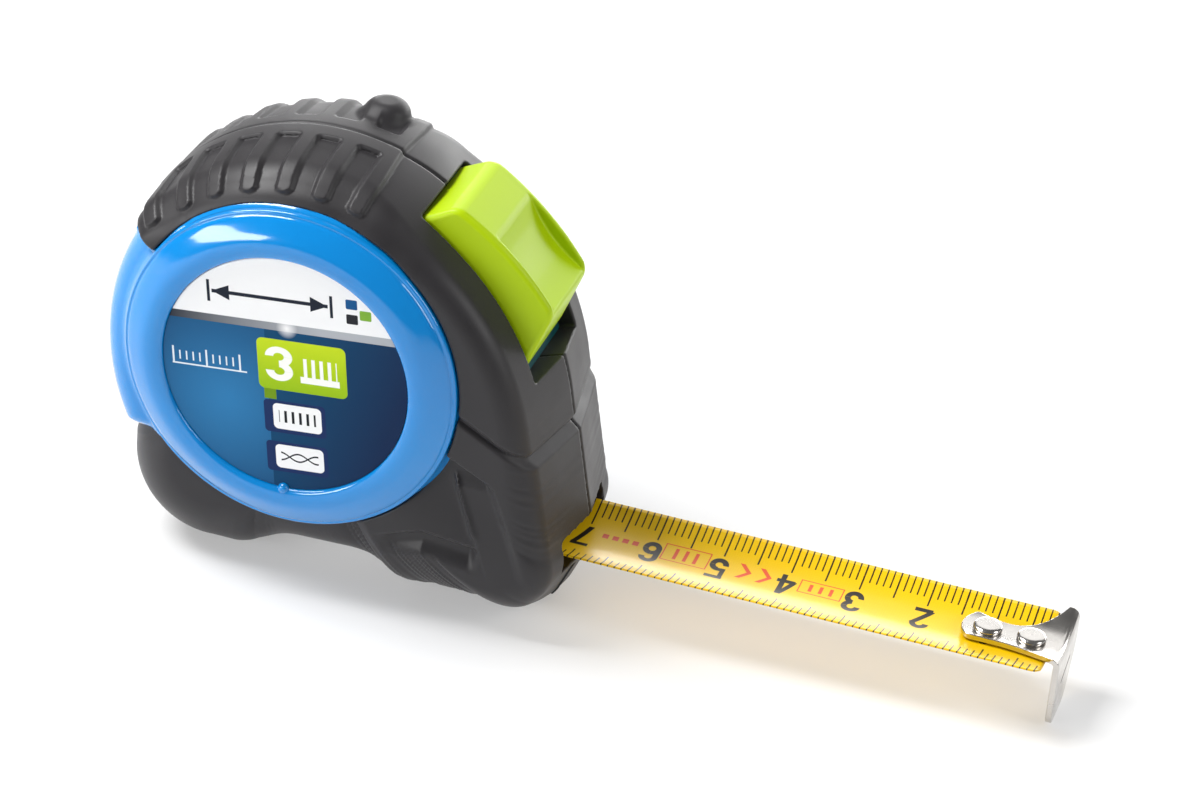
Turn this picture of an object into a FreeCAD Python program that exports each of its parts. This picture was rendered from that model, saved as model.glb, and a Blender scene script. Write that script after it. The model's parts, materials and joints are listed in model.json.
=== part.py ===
import FreeCAD, Part
import math
import os
import Sketcher

from FreeCAD import Placement, Rotation, Vector

# Pocket tape measure, 3 m long with a 16 mm blade, standing on its chin and rear lobe.
# Row frame: +X is the way the blade leaves, +Z is up, -Y is the side with the main label.
# Most sizes below are given in the reel frame: x and z from the reel's axis, y from the
# plane where the two case halves meet.  reel_x, split_y and reel_z carry them to the row frame.

doc = FreeCAD.newDocument("tape_measure")
sheet = doc.addObject("Spreadsheet::Sheet", "dims")

DIMENSIONS = {
    # where the reel frame sits in the row frame
    "reel_x": -40.865, "split_y": -3.285, "reel_z": 36.0,
    # blade and coil
    "blade_width": 16.0, "blade_thick": 0.3, "blade_sag": 1.6, "blade_edge_z": -24.8,
    "zero_x": 110.0, "tip_gap": 1.3, "blade_root_x": 0.8,
    "coil_rad": 24.4, "coil_pitch": 0.305, "coil_ribbon": 0.2,
    # reel
    "drum_rad": 17.2, "drum_wall": 1.0, "flange_rad": 24.2, "flange_thick": 1.0,
    "flange_in": 8.4, "post_rad": 3.0, "post_half": 13.0, "post_fit": 0.04,
    "spring_in": 4.2, "spring_pitch": 1.15, "spring_ribbon": 0.3, "spring_half": 7.6,
    # case halves
    "cavity_rad": 25.2, "shell_rad": 27.2, "ring_rad": 24.7, "label_rad": 18.2,
    "cavity_half": 12.0, "core_half": 15.8, "core_rad": 22.4, "shell_half": 14.5,
    "rubber_half": 16.0, "ring_half": 18.7, "label_floor": 17.6, "label_thick": 0.35,
    "boss_rad": 5.8, "boss_in": 9.8, "mouth_half": 8.9, "mouth_top": -22.2, "mouth_low": -27.3,
    "rubber_round": 3.0, "bezel_round": 1.6, "room_half": 9.6,
    "lobe_rad": 5.2, "screw_boss_rad": 2.3, "clip_boss_rad": 3.4,
    # lock
    "lock_x": -4.8, "lock_z": -11.1, "lock_half": 8.5, "slide_in": 36.9, "slide_out": 38.1,
    "window_half": 8.8, "window_low_deg": 19.3, "window_top_deg": 60.4,
    "slide_half": 9.2, "shoe_half": 3.0, "shoe_low": -24.24, "shoe_back": 19.0, "shoe_front": 24.4,
    "arm_back": 31.0, "arm_front": 33.0, "foot_low": -21.8,
    # screws and clip
    "screw_rad": 1.1, "screw_head_rad": 2.0, "clip_width": 18.0, "clip_thick": 0.9,
    "clip_gap": 5.5, "clip_screw_z": 8.0,
    # hook
    "hook_thick": 0.9, "rivet_head_rad": 1.95, "rivet_rad": 1.1, "hook_play": 0.8,
    "lip_low": -35.6,
}
for row, (alias, value) in enumerate(DIMENSIONS.items(), start=1):
    sheet.set("A%d" % row, alias)
    sheet.set("B%d" % row, str(value))
    sheet.setAlias("B%d" % row, alias)
doc.recompute()

# Screw positions (x, z) in the reel frame: two in the chin, one behind the front wall, one in the lobe.
CASE_SCREWS = [(32.2, -31.2), (18.6, -31.2), (28.3, -6.2), (-19.2, -25.2)]
RIVETS_FROM_ZERO = (4.2, 10.5)
# Finger grooves across the top grip of each half, 0.7 mm deep.
GROOVES, GROOVE_HALF, GROOVE_LENGTH, GROOVE_FROM = 6, 1.5, 11.0, 3.5
GROOVE_FIRST_DEG, GROOVE_STEP_DEG, GROOVE_FLOOR = 79.3, 11.3, 29.4

ALONG_Y = Rotation(Vector(1, 0, 0), -90)
ANGLE_FROM_X = Rotation(Vector(1, 0, 0), 90)


def size(alias):
    """Value of one cell of the sheet."""
    return float(sheet.get(alias))


def seat(obj, x="0", y="0", z="0", turn=Rotation()):
    """Put an object at reel-frame expressions x, y, z."""
    obj.Placement = Placement(Vector(), turn)
    obj.setExpression("Placement.Base.x", "dims.reel_x + (%s)" % x)
    obj.setExpression("Placement.Base.y", "dims.split_y + (%s)" % y)
    obj.setExpression("Placement.Base.z", "dims.reel_z + (%s)" % z)
    return obj


def rod(name, radius, start, end, x="0", z="0"):
    """Cylinder along Y from start to end, all sizes as expressions."""
    obj = doc.addObject("Part::Cylinder", name)
    obj.setExpression("Radius", radius)
    obj.setExpression("Height", "(%s) - (%s)" % (end, start))
    return seat(obj, x, start, z, ALONG_Y)


def block(name, x, y, z):
    """Box from pairs of expressions (low, high) along each axis."""
    obj = doc.addObject("Part::Box", name)
    for prop, (low, high) in zip(("Length", "Width", "Height"), (x, y, z)):
        obj.setExpression(prop, "(%s) - (%s)" % (high, low))
    return seat(obj, x[0], y[0], z[0])


def sector(name, radius, half, low_deg, high_deg):
    """Slice of a cylinder about the lock's pivot line, between two angles above +X."""
    obj = doc.addObject("Part::Cylinder", name)
    obj.setExpression("Radius", radius)
    obj.setExpression("Height", "2 * (%s)" % half)
    obj.Angle = high_deg - low_deg
    turn = ANGLE_FROM_X.multiply(Rotation(Vector(0, 0, 1), low_deg))
    return seat(obj, "dims.lock_x", half, "dims.lock_z", turn)


def cut(name, base, *tools):
    """Base less every tool."""
    tool = tools[0] if len(tools) == 1 else fuse(name + "_tools", *tools)
    obj = doc.addObject("Part::Cut", name)
    obj.Base, obj.Tool = base, tool
    return obj


def fuse(name, *shapes):
    obj = doc.addObject("Part::MultiFuse", name)
    obj.Shapes = list(shapes)
    return obj


def common(name, *shapes):
    obj = doc.addObject("Part::MultiCommon", name)
    obj.Shapes = list(shapes)
    return obj


def group(name, members):
    obj = doc.addObject("Part::Compound", name)
    obj.Links = list(members)
    return obj


def feature(name, shape):
    """A shape built with Part's own functions, already in the reel frame."""
    obj = doc.addObject("Part::Feature", name)
    obj.Shape = shape
    obj.Placement = Placement(Vector(size("reel_x"), size("split_y"), size("reel_z")), Rotation())
    return obj


def flat(x, z, y=0.0):
    return Vector(x, y, z)


def rounded_wire(corners, y):
    """Closed outline in a plane of constant y, from corners (x, z, radius of the rounding there)."""
    points = [flat(x, z, y) for x, z, _ in corners]
    stops = []
    for index, (_, _, radius) in enumerate(corners):
        point = points[index]
        back = (points[index - 1] - point).normalize()
        ahead = (points[(index + 1) % len(points)] - point).normalize()
        half = back.getAngle(ahead) / 2
        reach = radius / math.tan(half)
        inward = (back + ahead).normalize()
        middle = point + inward * (radius / math.sin(half) - radius)
        stops.append((point + back * reach, middle, point + ahead * reach))
    edges = []
    for index, (first, middle, last) in enumerate(stops):
        if corners[index][2] > 0:
            edges.append(Part.Arc(first, middle, last).toShape())
        edges.append(Part.LineSegment(last, stops[(index + 1) % len(stops)][0]).toShape())
    return Part.Wire(edges)


def slab(corners, low, high):
    """Outline pulled along Y from low to high."""
    return Part.Face(rounded_wire(corners, low)).extrude(Vector(0, high - low, 0))


def spiral(inner, pitch, thick, turns, low, high, last_quarter):
    """Ribbon wound anticlockwise from +X, of half circles about two centres half a pitch apart."""
    def side(offset):
        edges, half_turns = [], 2 * turns
        for index in range(half_turns):
            lower = index % 2
            radius = inner + offset + pitch * index / 2
            centre = pitch / 2 * lower
            quarter = last_quarter and index == half_turns - 1
            angles = (math.pi * lower, math.pi * (lower + (0.5 if quarter else 1.0)))
            stops = [angles[0], sum(angles) / 2, angles[1]]
            points = [flat(centre + radius * math.cos(a), radius * math.sin(a), low) for a in stops]
            edges.append(Part.Arc(*points).toShape())
        return edges

    near, far = side(0.0), side(thick)
    caps = [Part.LineSegment(near[end].Vertexes[end].Point, far[end].Vertexes[end].Point).toShape()
            for end in (0, -1)]
    outline = Part.Wire(Part.__sortEdges__(near + far + caps))
    return Part.Face(outline).extrude(Vector(0, high - low, 0))


# ---------------------------------------------------------------- case halves
# Corners of the rubber's outside, clockwise from the back of the top grip.
RUBBER = [
    (-28.0, 10.9, 0), (-21.6, 24.6, 29.2), (3.6, 32.6, 29.2), (32.8, 15.7, 42),
    (41.0, -26.3, 7), (36.8, -36.0, 6), (17.6, -36.0, 7), (10.6, -32.2, 9),
    (-1.4, -32.6, 9), (-8.0, -36.0, 7), (-26.4, -36.0, 13), (-26.4, -17.0, 6),
    (-18.0, -14.6, 0), (-19.5, 11.8, 0),
]
# Hard shell under the front rubber and round the chin.
CHIN = [
    (5.0, 26.0, 0), (14.0, 23.2, 4), (30.3, 14.6, 38), (38.6, -26.3, 4),
    (35.2, -34.2, 3), (19.0, -34.2, 4), (11.5, -29.4, 4), (-6.0, -29.4, 0), (-4.0, -20.0, 0),
]
# Room in the chin for the lock's arm, the shoe and the blade.
ROOM = [
    (18.0, 16.0, 0), (27.4, 9.0, 8), (36.3, -22.0, 4), (36.3, -27.3, 0), (-3.0, -27.3, 0),
    (-3.0, -20.0, 0),
]


def rear_bulge(low, high):
    """Back of the shell between the top grip and the rear lobe, flatter than the disc."""
    top, back, foot = flat(-24.2, 15.7, low), flat(-29.1, 0, low), flat(-24.2, -20.1, low)
    inside = [flat(-10.0, -20.1, low), flat(-10.0, 15.7, low)]
    edges = [Part.Arc(top, back, foot).toShape(), Part.LineSegment(foot, inside[0]).toShape(),
             Part.LineSegment(*inside).toShape(), Part.LineSegment(inside[1], top).toShape()]
    return Part.Face(Part.Wire(edges)).extrude(Vector(0, high - low, 0))


def case_half(side, way):
    """One moulded half: way is -1 for the left half (label side), +1 for the right half."""
    def span(inner, outer):
        ends = ("%s * (%s)" % (way, inner), "%s * (%s)" % (way, outer))
        return ends if way > 0 else ends[::-1]

    name = "case_" + side
    disc = rod(name + "_disc", "dims.shell_rad", *span("0", "dims.shell_half"))
    reach = way * size("shell_half")
    chin = feature(name + "_chin", slab(CHIN, min(0, reach), max(0, reach)))
    back = feature(name + "_back", rear_bulge(min(0, reach), max(0, reach)))
    lobe = rod(name + "_lobe", "dims.lobe_rad", *span("0", "dims.shell_half"), str(CASE_SCREWS[3][0]),
               str(CASE_SCREWS[3][1]))
    bezel = rod(name + "_bezel", "dims.ring_rad", *span("dims.shell_half - 1", "dims.ring_half"))
    bezel_round = doc.addObject("Part::Fillet", name + "_bezel_round")
    doc.recompute()
    bezel_round.Base = bezel
    outer = [index + 1 for index, edge in enumerate(bezel.Shape.Edges)
             if edge.isClosed() and abs(edge.BoundBox.Center.y - size("split_y")) > size("ring_half") - 0.01]
    bezel_round.Edges = [(index, size("bezel_round"), size("bezel_round")) for index in outer]
    skin = fuse(name + "_skin", disc, chin, back, lobe, bezel_round)

    room_reach = way * size("room_half")
    room = feature(name + "_room", slab(ROOM, min(0, room_reach), max(0, room_reach)))
    hollow = [
        rod(name + "_cavity", "dims.cavity_rad", *span("-0.5", "dims.cavity_half")),
        rod(name + "_core", "dims.core_rad", *span("-0.5", "dims.core_half")),
        rod(name + "_recess", "dims.label_rad", *span("dims.label_floor", "dims.ring_half + 1")),
        block(name + "_mouth", ("34", "42"), span("-0.5", "dims.mouth_half"),
              ("dims.mouth_low", "dims.mouth_top")),
        room,
        cut(name + "_slideway",
            sector(name + "_way_out", "dims.slide_out + 0.4", "dims.slide_half + 0.4", -12, 62),
            sector(name + "_way_in", "dims.slide_in - 0.4", "dims.slide_half + 1", -14, 64)),
        cut(name + "_window",
            sector(name + "_window_out", "50", "dims.window_half",
                   size("window_low_deg"), size("window_top_deg")),
            sector(name + "_window_in", "dims.slide_in", "dims.window_half + 1",
                   size("window_low_deg") - 1, size("window_top_deg") + 1)),
    ]
    shell = cut(name + "_shell", skin, *hollow)

    bosses = [rod(name + "_hub", "dims.boss_rad", *span("dims.boss_in", "dims.core_half + 0.5"))]
    for number, (x, z) in enumerate(CASE_SCREWS):
        bosses.append(rod("%s_boss_%d" % (name, number), "dims.screw_boss_rad",
                          *span("0", "dims.cavity_half + 1"), str(x), str(z)))
    if way > 0:
        bosses.append(rod(name + "_clip_boss", "dims.clip_boss_rad",
                          *span("dims.cavity_half", "dims.core_half + 0.5"), "0", "dims.clip_screw_z"))
    bores = [rod(name + "_post_bore", "dims.post_rad + dims.post_fit / 2",
                 *span("dims.boss_in - 1", "dims.post_half + 0.1"))]
    for number, (x, z) in enumerate(CASE_SCREWS):
        place = (str(x), str(z))
        bores.append(rod("%s_bore_%d" % (name, number), "dims.screw_rad + 0.02",
                         *span("-0.5", "dims.cavity_half - 0.5"), *place))
        if way > 0:
            bores.append(rod("%s_seat_%d" % (name, number), "dims.screw_head_rad + 0.3",
                             *span("dims.cavity_half - 1", "dims.rubber_half + 2"), *place))
    if way > 0:
        bores.append(rod(name + "_clip_bore", "1.42", *span("dims.cavity_half - 1", "dims.ring_half"),
                         "0", "dims.clip_screw_z"))
    return cut(name, fuse(name + "_bossed", shell, *bosses), *bores), skin


def grip_half(side, way, skin):
    """Rubber moulded over one half: rear lobe, chin, front and the ribbed top grip."""
    name = "grip_" + side
    reach = way * size("rubber_half")
    raw = slab(RUBBER, min(0, reach), max(0, reach))
    rim = [edge for edge in raw.Edges
           if abs(edge.BoundBox.YMin - reach) < 0.01 and abs(edge.BoundBox.YMax - reach) < 0.01
           and not (edge.BoundBox.XMax < -17 and edge.BoundBox.ZMin > -15.5 and edge.BoundBox.ZMax < 12.5)]
    raw = raw.makeFillet(size("rubber_round"), rim)
    body = feature(name + "_body", raw)
    ends = sorted((way * -0.5, way * 30.0))
    tools = [
        skin,
        rod(name + "_ring_hole", "dims.ring_rad", str(ends[0]), str(ends[1])),
        block(name + "_mouth", ("30", "45"), ("-dims.mouth_half", "dims.mouth_half"),
              ("dims.mouth_low", "dims.mouth_top")),
        cut(name + "_window",
            sector(name + "_window_out", "50", "dims.window_half",
                   size("window_low_deg"), size("window_top_deg")),
            sector(name + "_window_in", "30", "dims.window_half + 1",
                   size("window_low_deg") - 1, size("window_top_deg") + 1)),
        block(name + "_bumper_seat", ("34", "42"), ("-5", "5"), ("-34.0", "-28.4")),
    ]
    for number in range(GROOVES):
        groove = doc.addObject("Part::Box", "%s_groove_%d" % (name, number))
        groove.Length, groove.Width, groove.Height = 2 * GROOVE_HALF, GROOVE_LENGTH, 5
        along_y = way * GROOVE_FROM if way > 0 else way * (GROOVE_FROM + GROOVE_LENGTH)
        turn = Rotation(Vector(0, 1, 0), 90 - GROOVE_FIRST_DEG - GROOVE_STEP_DEG * number)
        centre = Placement(Vector(size("reel_x"), size("split_y"), size("reel_z")), turn)
        groove.Placement = centre.multiply(
            Placement(Vector(-GROOVE_HALF, along_y, GROOVE_FLOOR), Rotation()))
        tools.append(groove)
    if way > 0:
        for number, (x, z) in enumerate(CASE_SCREWS):
            tools.append(rod("%s_seat_%d" % (name, number), "dims.screw_head_rad + 0.3", "0",
                             "dims.rubber_half + 2", str(x), str(z)))
    return cut(name, body, *tools)


case_left, skin_left = case_half("left", -1)
case_right, skin_right = case_half("right", 1)
grip_left = grip_half("left", -1, skin_left)
grip_right = grip_half("right", 1, skin_right)


def label_disc(name, face_y, screw_hole):
    """Printed disc in the recess of one half: a body with a padded sketch."""
    body = doc.addObject("PartDesign::Body", name)
    plane = next(f for f in body.Origin.OriginFeatures if f.Role == "XZ_Plane")
    sketch = body.newObject("Sketcher::SketchObject", name + "_sketch")
    sketch.AttachmentSupport = [(plane, "")]
    sketch.MapMode = "FlatFace"
    sketch.addGeometry(Part.Circle(Vector(), Vector(0, 0, 1), size("label_rad")), False)
    radius = sketch.addConstraint(Sketcher.Constraint("Radius", 0, size("label_rad")))
    sketch.addConstraint(Sketcher.Constraint("Coincident", 0, 3, -1, 1))
    sketch.setExpression("Constraints[%d]" % radius, "dims.label_rad - 0.05")
    if screw_hole:
        hole_at = size("clip_screw_z")
        sketch.addGeometry(Part.Circle(Vector(0, hole_at, 0), Vector(0, 0, 1), 1.6), False)
        sketch.addConstraint(Sketcher.Constraint("Radius", 1, 1.6))
        sketch.addConstraint(Sketcher.Constraint("PointOnObject", 1, 3, -2))
        lift = sketch.addConstraint(Sketcher.Constraint("DistanceY", 1, 3, hole_at))
        sketch.setExpression("Constraints[%d]" % lift, "dims.clip_screw_z")
    pad = body.newObject("PartDesign::Pad", name + "_pad")
    pad.Profile = sketch
    pad.setExpression("Length", "dims.label_thick")
    # the pad grows towards -Y, so it starts at its higher face
    return seat(body, "0", face_y, "0")


label_left = label_disc("label_left", "-dims.label_floor", False)
label_right = label_disc("label_right", "dims.label_floor + dims.label_thick", True)

# ---------------------------------------------------------------- post, screws, clip
post_pin = rod("post_pin", "dims.post_rad", "-dims.post_half", "dims.post_half")
post_slot = block("post_slot", ("-0.4", "0.4"), ("-dims.spring_half", "dims.spring_half"), ("0", "5"))
center_post = cut("center_post", post_pin, post_slot)


def case_screw(number, x, z):
    """Pan-head screw from the right side: head in its seat, shank into the left half."""
    place = (str(x), str(z))
    name = "case_screw_%d" % number
    head = rod(name + "_head", "dims.screw_head_rad", "dims.cavity_half - 1", "dims.cavity_half + 0.5",
               *place)
    shank = rod(name + "_shank", "dims.screw_rad", "-8", "dims.cavity_half - 0.9", *place)
    slot = block(name + "_slot", ("%s - 1.4" % x, "%s + 1.4" % x),
                 ("dims.cavity_half", "dims.cavity_half + 1"), ("%s - 0.3" % z, "%s + 0.3" % z))
    return cut(name, fuse(name + "_solid", head, shank), slot)


case_screws = group("case_screws", [case_screw(n, x, z) for n, (x, z) in enumerate(CASE_SCREWS)])

# Belt clip: one steel strip, bent over at the top and hooked in at its lower end.
tab_y = size("label_floor") + size("label_thick") + 0.02
strip = size("clip_thick")
outer_y = tab_y + strip + size("clip_gap") + strip
bend = (outer_y - tab_y) / 2
CLIP_TOP, CLIP_LOW, TAB_LOW = 13.0, -19.0, -2.0


def clip_strip():
    """Side view of the strip in the Y-Z plane, pulled along X."""
    half = size("clip_width") / 2
    middle = tab_y + bend

    def at(y, z):
        return Vector(-half, y, z)

    rows = [
        Part.LineSegment(at(tab_y, TAB_LOW), at(tab_y, CLIP_TOP)),
        Part.Arc(at(tab_y, CLIP_TOP), at(middle, CLIP_TOP + bend), at(outer_y, CLIP_TOP)),
        Part.LineSegment(at(outer_y, CLIP_TOP), at(outer_y, CLIP_LOW)),
        Part.LineSegment(at(outer_y, CLIP_LOW), at(outer_y - 2.2, CLIP_LOW - 3.4)),
        Part.LineSegment(at(outer_y - 2.2, CLIP_LOW - 3.4), at(outer_y - 3.0, CLIP_LOW - 2.9)),
        Part.LineSegment(at(outer_y - 3.0, CLIP_LOW - 2.9), at(outer_y - strip, CLIP_LOW + 0.2)),
        Part.LineSegment(at(outer_y - strip, CLIP_LOW + 0.2), at(outer_y - strip, CLIP_TOP)),
        Part.Arc(at(outer_y - strip, CLIP_TOP), at(middle, CLIP_TOP + bend - strip),
                 at(tab_y + strip, CLIP_TOP)),
        Part.LineSegment(at(tab_y + strip, CLIP_TOP), at(tab_y + strip, TAB_LOW)),
        Part.LineSegment(at(tab_y + strip, TAB_LOW), at(tab_y, TAB_LOW)),
    ]
    face = Part.Face(Part.Wire([row.toShape() for row in rows]))
    return face.extrude(Vector(2 * half, 0, 0))


clip_raw = feature("clip_raw", clip_strip())
clip_hole = rod("clip_hole", "1.65", "dims.label_floor", "30", "0", "dims.clip_screw_z")
clip_access = rod("clip_access", "3.4", "22", "30", "0", "dims.clip_screw_z")
belt_clip = cut("belt_clip", clip_raw, clip_hole, clip_access)

clip_head = rod("clip_head", "2.8", str(tab_y + strip), str(tab_y + strip + 1.7), "0", "dims.clip_screw_z")
clip_shank = rod("clip_shank", "1.4", "dims.cavity_half", str(tab_y + strip + 0.2), "0",
                 "dims.clip_screw_z")
clip_slot = block("clip_slot", ("-2", "2"), (str(tab_y + strip + 1.0), str(tab_y + strip + 3)),
                  ("dims.clip_screw_z - 0.4", "dims.clip_screw_z + 0.4"))
belt_clip_screw = cut("belt_clip_screw", fuse("clip_screw_solid", clip_head, clip_shank), clip_slot)

# ---------------------------------------------------------------- mouth and bumper
# Wear plate under the blade, slotted at the front where the rivets pass.
plate_blank = block("plate_blank", ("20.0", "37.2"), ("-8.6", "8.6"),
                    ("dims.mouth_low + 0.02", "dims.blade_edge_z - dims.blade_sag - 0.45"))
plate_slot = block("plate_slot", ("25.0", "38.0"), ("-2.5", "2.5"), ("-29", "-26"))
mouth_plate = cut("mouth_plate", plate_blank, plate_slot)
front_rubber = feature("front_rubber", slab(RUBBER, -4.9, 4.9))
bumper_block = block("bumper_block", ("34.5", "42"), ("-5", "5"), ("-33.9", "-28.5"))
hook_bumper = cut("hook_bumper", common("bumper_raw", front_rubber, bumper_block), skin_left, skin_right)

# ---------------------------------------------------------------- lock
BUTTON = [(16.1, 24.4, 0), (19.7, 26.3, 1.2), (28.4, 20.4, 40), (34.9, 12.6, 1.2), (32.0, 4.9, 0),
          (26.6, 15.6, 38)]


# Cylinder that scoops the thumb dish, its axis along Y outside the case.
DISH_RAD, DISH_HALF, DISH_X, DISH_Z = 22.0, 5.5, 45.4, 31.3


def button():
    """Wedge that fills the window, with rounded edges and a thumb dish across its face."""
    half = size("lock_half")
    cap = slab(BUTTON, -half, half)
    sides = [edge for edge in cap.Edges if edge.BoundBox.YLength < 0.01
             and edge.CenterOfMass.sub(Vector(20.9, edge.CenterOfMass.y, 14.4)).Length > 7.0]
    cap = cap.makeFillet(0.9, sides)
    dish = Part.makeCylinder(DISH_RAD, 2 * DISH_HALF, Vector(DISH_X, -DISH_HALF, DISH_Z), Vector(0, 1, 0))
    return cap.cut(dish)


button_cap = feature("button_cap", button())
button_stem = cut("button_stem", sector("stem_out", "42.2", "7", 26, 50),
                  sector("stem_in", "dims.slide_out", "8", 25, 51))
lock_button = fuse("lock_button", button_cap, button_stem)

slide_plate = cut("slide_plate", sector("plate_out", "dims.slide_out", "dims.slide_half", -4, 57.5),
                  sector("plate_in", "dims.slide_in", "dims.slide_half + 1", -5, 58.5))
# The arm drops from the plate, and its foot reaches back over the blade, clear of the hook's tongue.
slide_arm = block("slide_arm", ("dims.arm_back", "dims.arm_front"), ("-4", "4"),
                  ("dims.foot_low + 1.2", "-11.4"))
slide_foot = block("slide_foot", ("dims.shoe_back - 0.4", "dims.arm_front"), ("-4", "4"),
                   ("dims.foot_low", "dims.foot_low + 1.6"))
lock_slide = fuse("lock_slide", slide_plate, slide_arm, slide_foot)
brake_shoe = block("brake_shoe", ("dims.shoe_back", "dims.shoe_front"), ("-dims.shoe_half", "dims.shoe_half"),
                   ("dims.shoe_low", "dims.foot_low"))

# ---------------------------------------------------------------- reel
drum_barrel = cut("drum_barrel", rod("barrel_out", "dims.drum_rad", "-dims.flange_in", "dims.flange_in"),
                  rod("barrel_in", "dims.drum_rad - dims.drum_wall", "-dims.flange_in - 1",
                      "dims.flange_in + 1"))
drum_flange = rod("drum_flange", "dims.flange_rad", "dims.flange_in", "dims.flange_in + dims.flange_thick")
drum_bore = rod("drum_bore", "dims.post_rad + dims.post_fit", "0", "12")
reel_drum = cut("reel_drum", fuse("drum_solid", drum_barrel, drum_flange), drum_bore)
cover_disc = rod("cover_disc", "dims.flange_rad", "-dims.flange_in - dims.flange_thick",
                 "-dims.flange_in - 0.02")
cover_bore = rod("cover_bore", "dims.post_rad + dims.post_fit", "-12", "0")
cover_lip = cut("cover_lip", rod("lip_out", "dims.drum_rad - dims.drum_wall - 0.05",
                                 "-dims.flange_in - 0.5", "-dims.flange_in + 0.6"),
                rod("lip_in", "dims.drum_rad - dims.drum_wall - 1", "-10", "0"))
reel_cover = cut("reel_cover", fuse("cover_solid", cover_disc, cover_lip), cover_bore)

coil_half = size("blade_width") / 2
coil_turns = int((size("coil_rad") - size("coil_ribbon") - size("drum_rad")) / size("coil_pitch") - 0.25)
coil_inner = size("coil_rad") - size("coil_ribbon") - size("coil_pitch") * (coil_turns - 0.5)
blade_coil = feature("blade_coil", spiral(coil_inner, size("coil_pitch"), size("coil_ribbon"),
                                          coil_turns, -coil_half, coil_half, True))
spring_room = size("drum_rad") - size("drum_wall") - size("spring_in") - 1.0
spring_turns = int(spring_room / size("spring_pitch"))
power_spring = feature("power_spring", spiral(size("spring_in"), size("spring_pitch"),
                                              size("spring_ribbon"), spring_turns,
                                              -size("spring_half"), size("spring_half"), False))
mean_rad = (size("coil_rad") + coil_inner) / 2
coil_length = sum(math.pi * (coil_inner + size("coil_pitch") * k / 2) for k in range(2 * coil_turns))
print("coil turns %d, length %.0f mm, mean radius %.2f mm" % (coil_turns, coil_length, mean_rad))

# ---------------------------------------------------------------- free blade, rivets, hook
# Arc section: half the blade's width and its sag give the arc's radius.
sheet.set("A90", "blade_rad")
sheet.set("B90", "=(blade_width ^ 2 / 4 + blade_sag ^ 2) / (2 * blade_sag)")
sheet.setAlias("B90", "blade_rad")
doc.recompute()


def rod_x(name, radius):
    """Cylinder along X through the free blade's length, centred above the blade."""
    obj = doc.addObject("Part::Cylinder", name)
    obj.setExpression("Radius", radius)
    obj.setExpression("Height", "dims.zero_x - dims.tip_gap - dims.blade_root_x")
    return seat(obj, "dims.blade_root_x", "0", "dims.blade_edge_z - dims.blade_sag + dims.blade_rad",
                Rotation(Vector(0, 1, 0), 90))


blade_shell = cut("blade_shell", rod_x("blade_under", "dims.blade_rad + dims.blade_thick / 2"),
                  rod_x("blade_over", "dims.blade_rad - dims.blade_thick / 2"))
blade_strip = block("blade_strip", ("0", "dims.zero_x"), ("-dims.blade_width / 2", "dims.blade_width / 2"),
                    ("dims.blade_edge_z - dims.blade_sag - 1", "dims.blade_edge_z + 1"))
rivet_places = [size("zero_x") - along for along in RIVETS_FROM_ZERO]
blade_floor = size("blade_edge_z") - size("blade_sag")
half_thick = size("blade_thick") / 2


def upright(name, radius, x, low, high):
    """Vertical cylinder at reel-frame x on the blade's centre line."""
    obj = doc.addObject("Part::Cylinder", name)
    obj.setExpression("Radius", radius)
    obj.Height = high - low
    return seat(obj, str(x), "0", str(low))


blade_holes = [upright("blade_hole_%d" % n, "dims.rivet_rad + 0.01", x, blade_floor - 2, blade_floor + 2)
               for n, x in enumerate(rivet_places)]
blade = cut("blade", common("blade_arc", blade_shell, blade_strip), *blade_holes)

# The tongue is curved like the blade and lies 0.3 mm over it.
tongue_low = blade_floor + half_thick + 0.3
tongue_top = tongue_low + size("hook_thick")
tongue_bend = size("blade_rad") - half_thick - 0.3


def rivet(number, x):
    name = "rivet_%d" % number
    head = upright(name + "_head", "dims.rivet_head_rad", x, tongue_top + 0.2, tongue_top + 0.9)
    shank = upright(name + "_shank", "dims.rivet_rad", x, blade_floor - half_thick - 0.3, tongue_top + 0.3)
    foot = upright(name + "_foot", "dims.rivet_head_rad - 0.1", x, blade_floor - half_thick - 0.44,
                   blade_floor - half_thick - 0.04)
    return fuse(name, head, shank, foot)


hook_rivets = group("hook_rivets", [rivet(n, x) for n, x in enumerate(rivet_places)])


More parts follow.
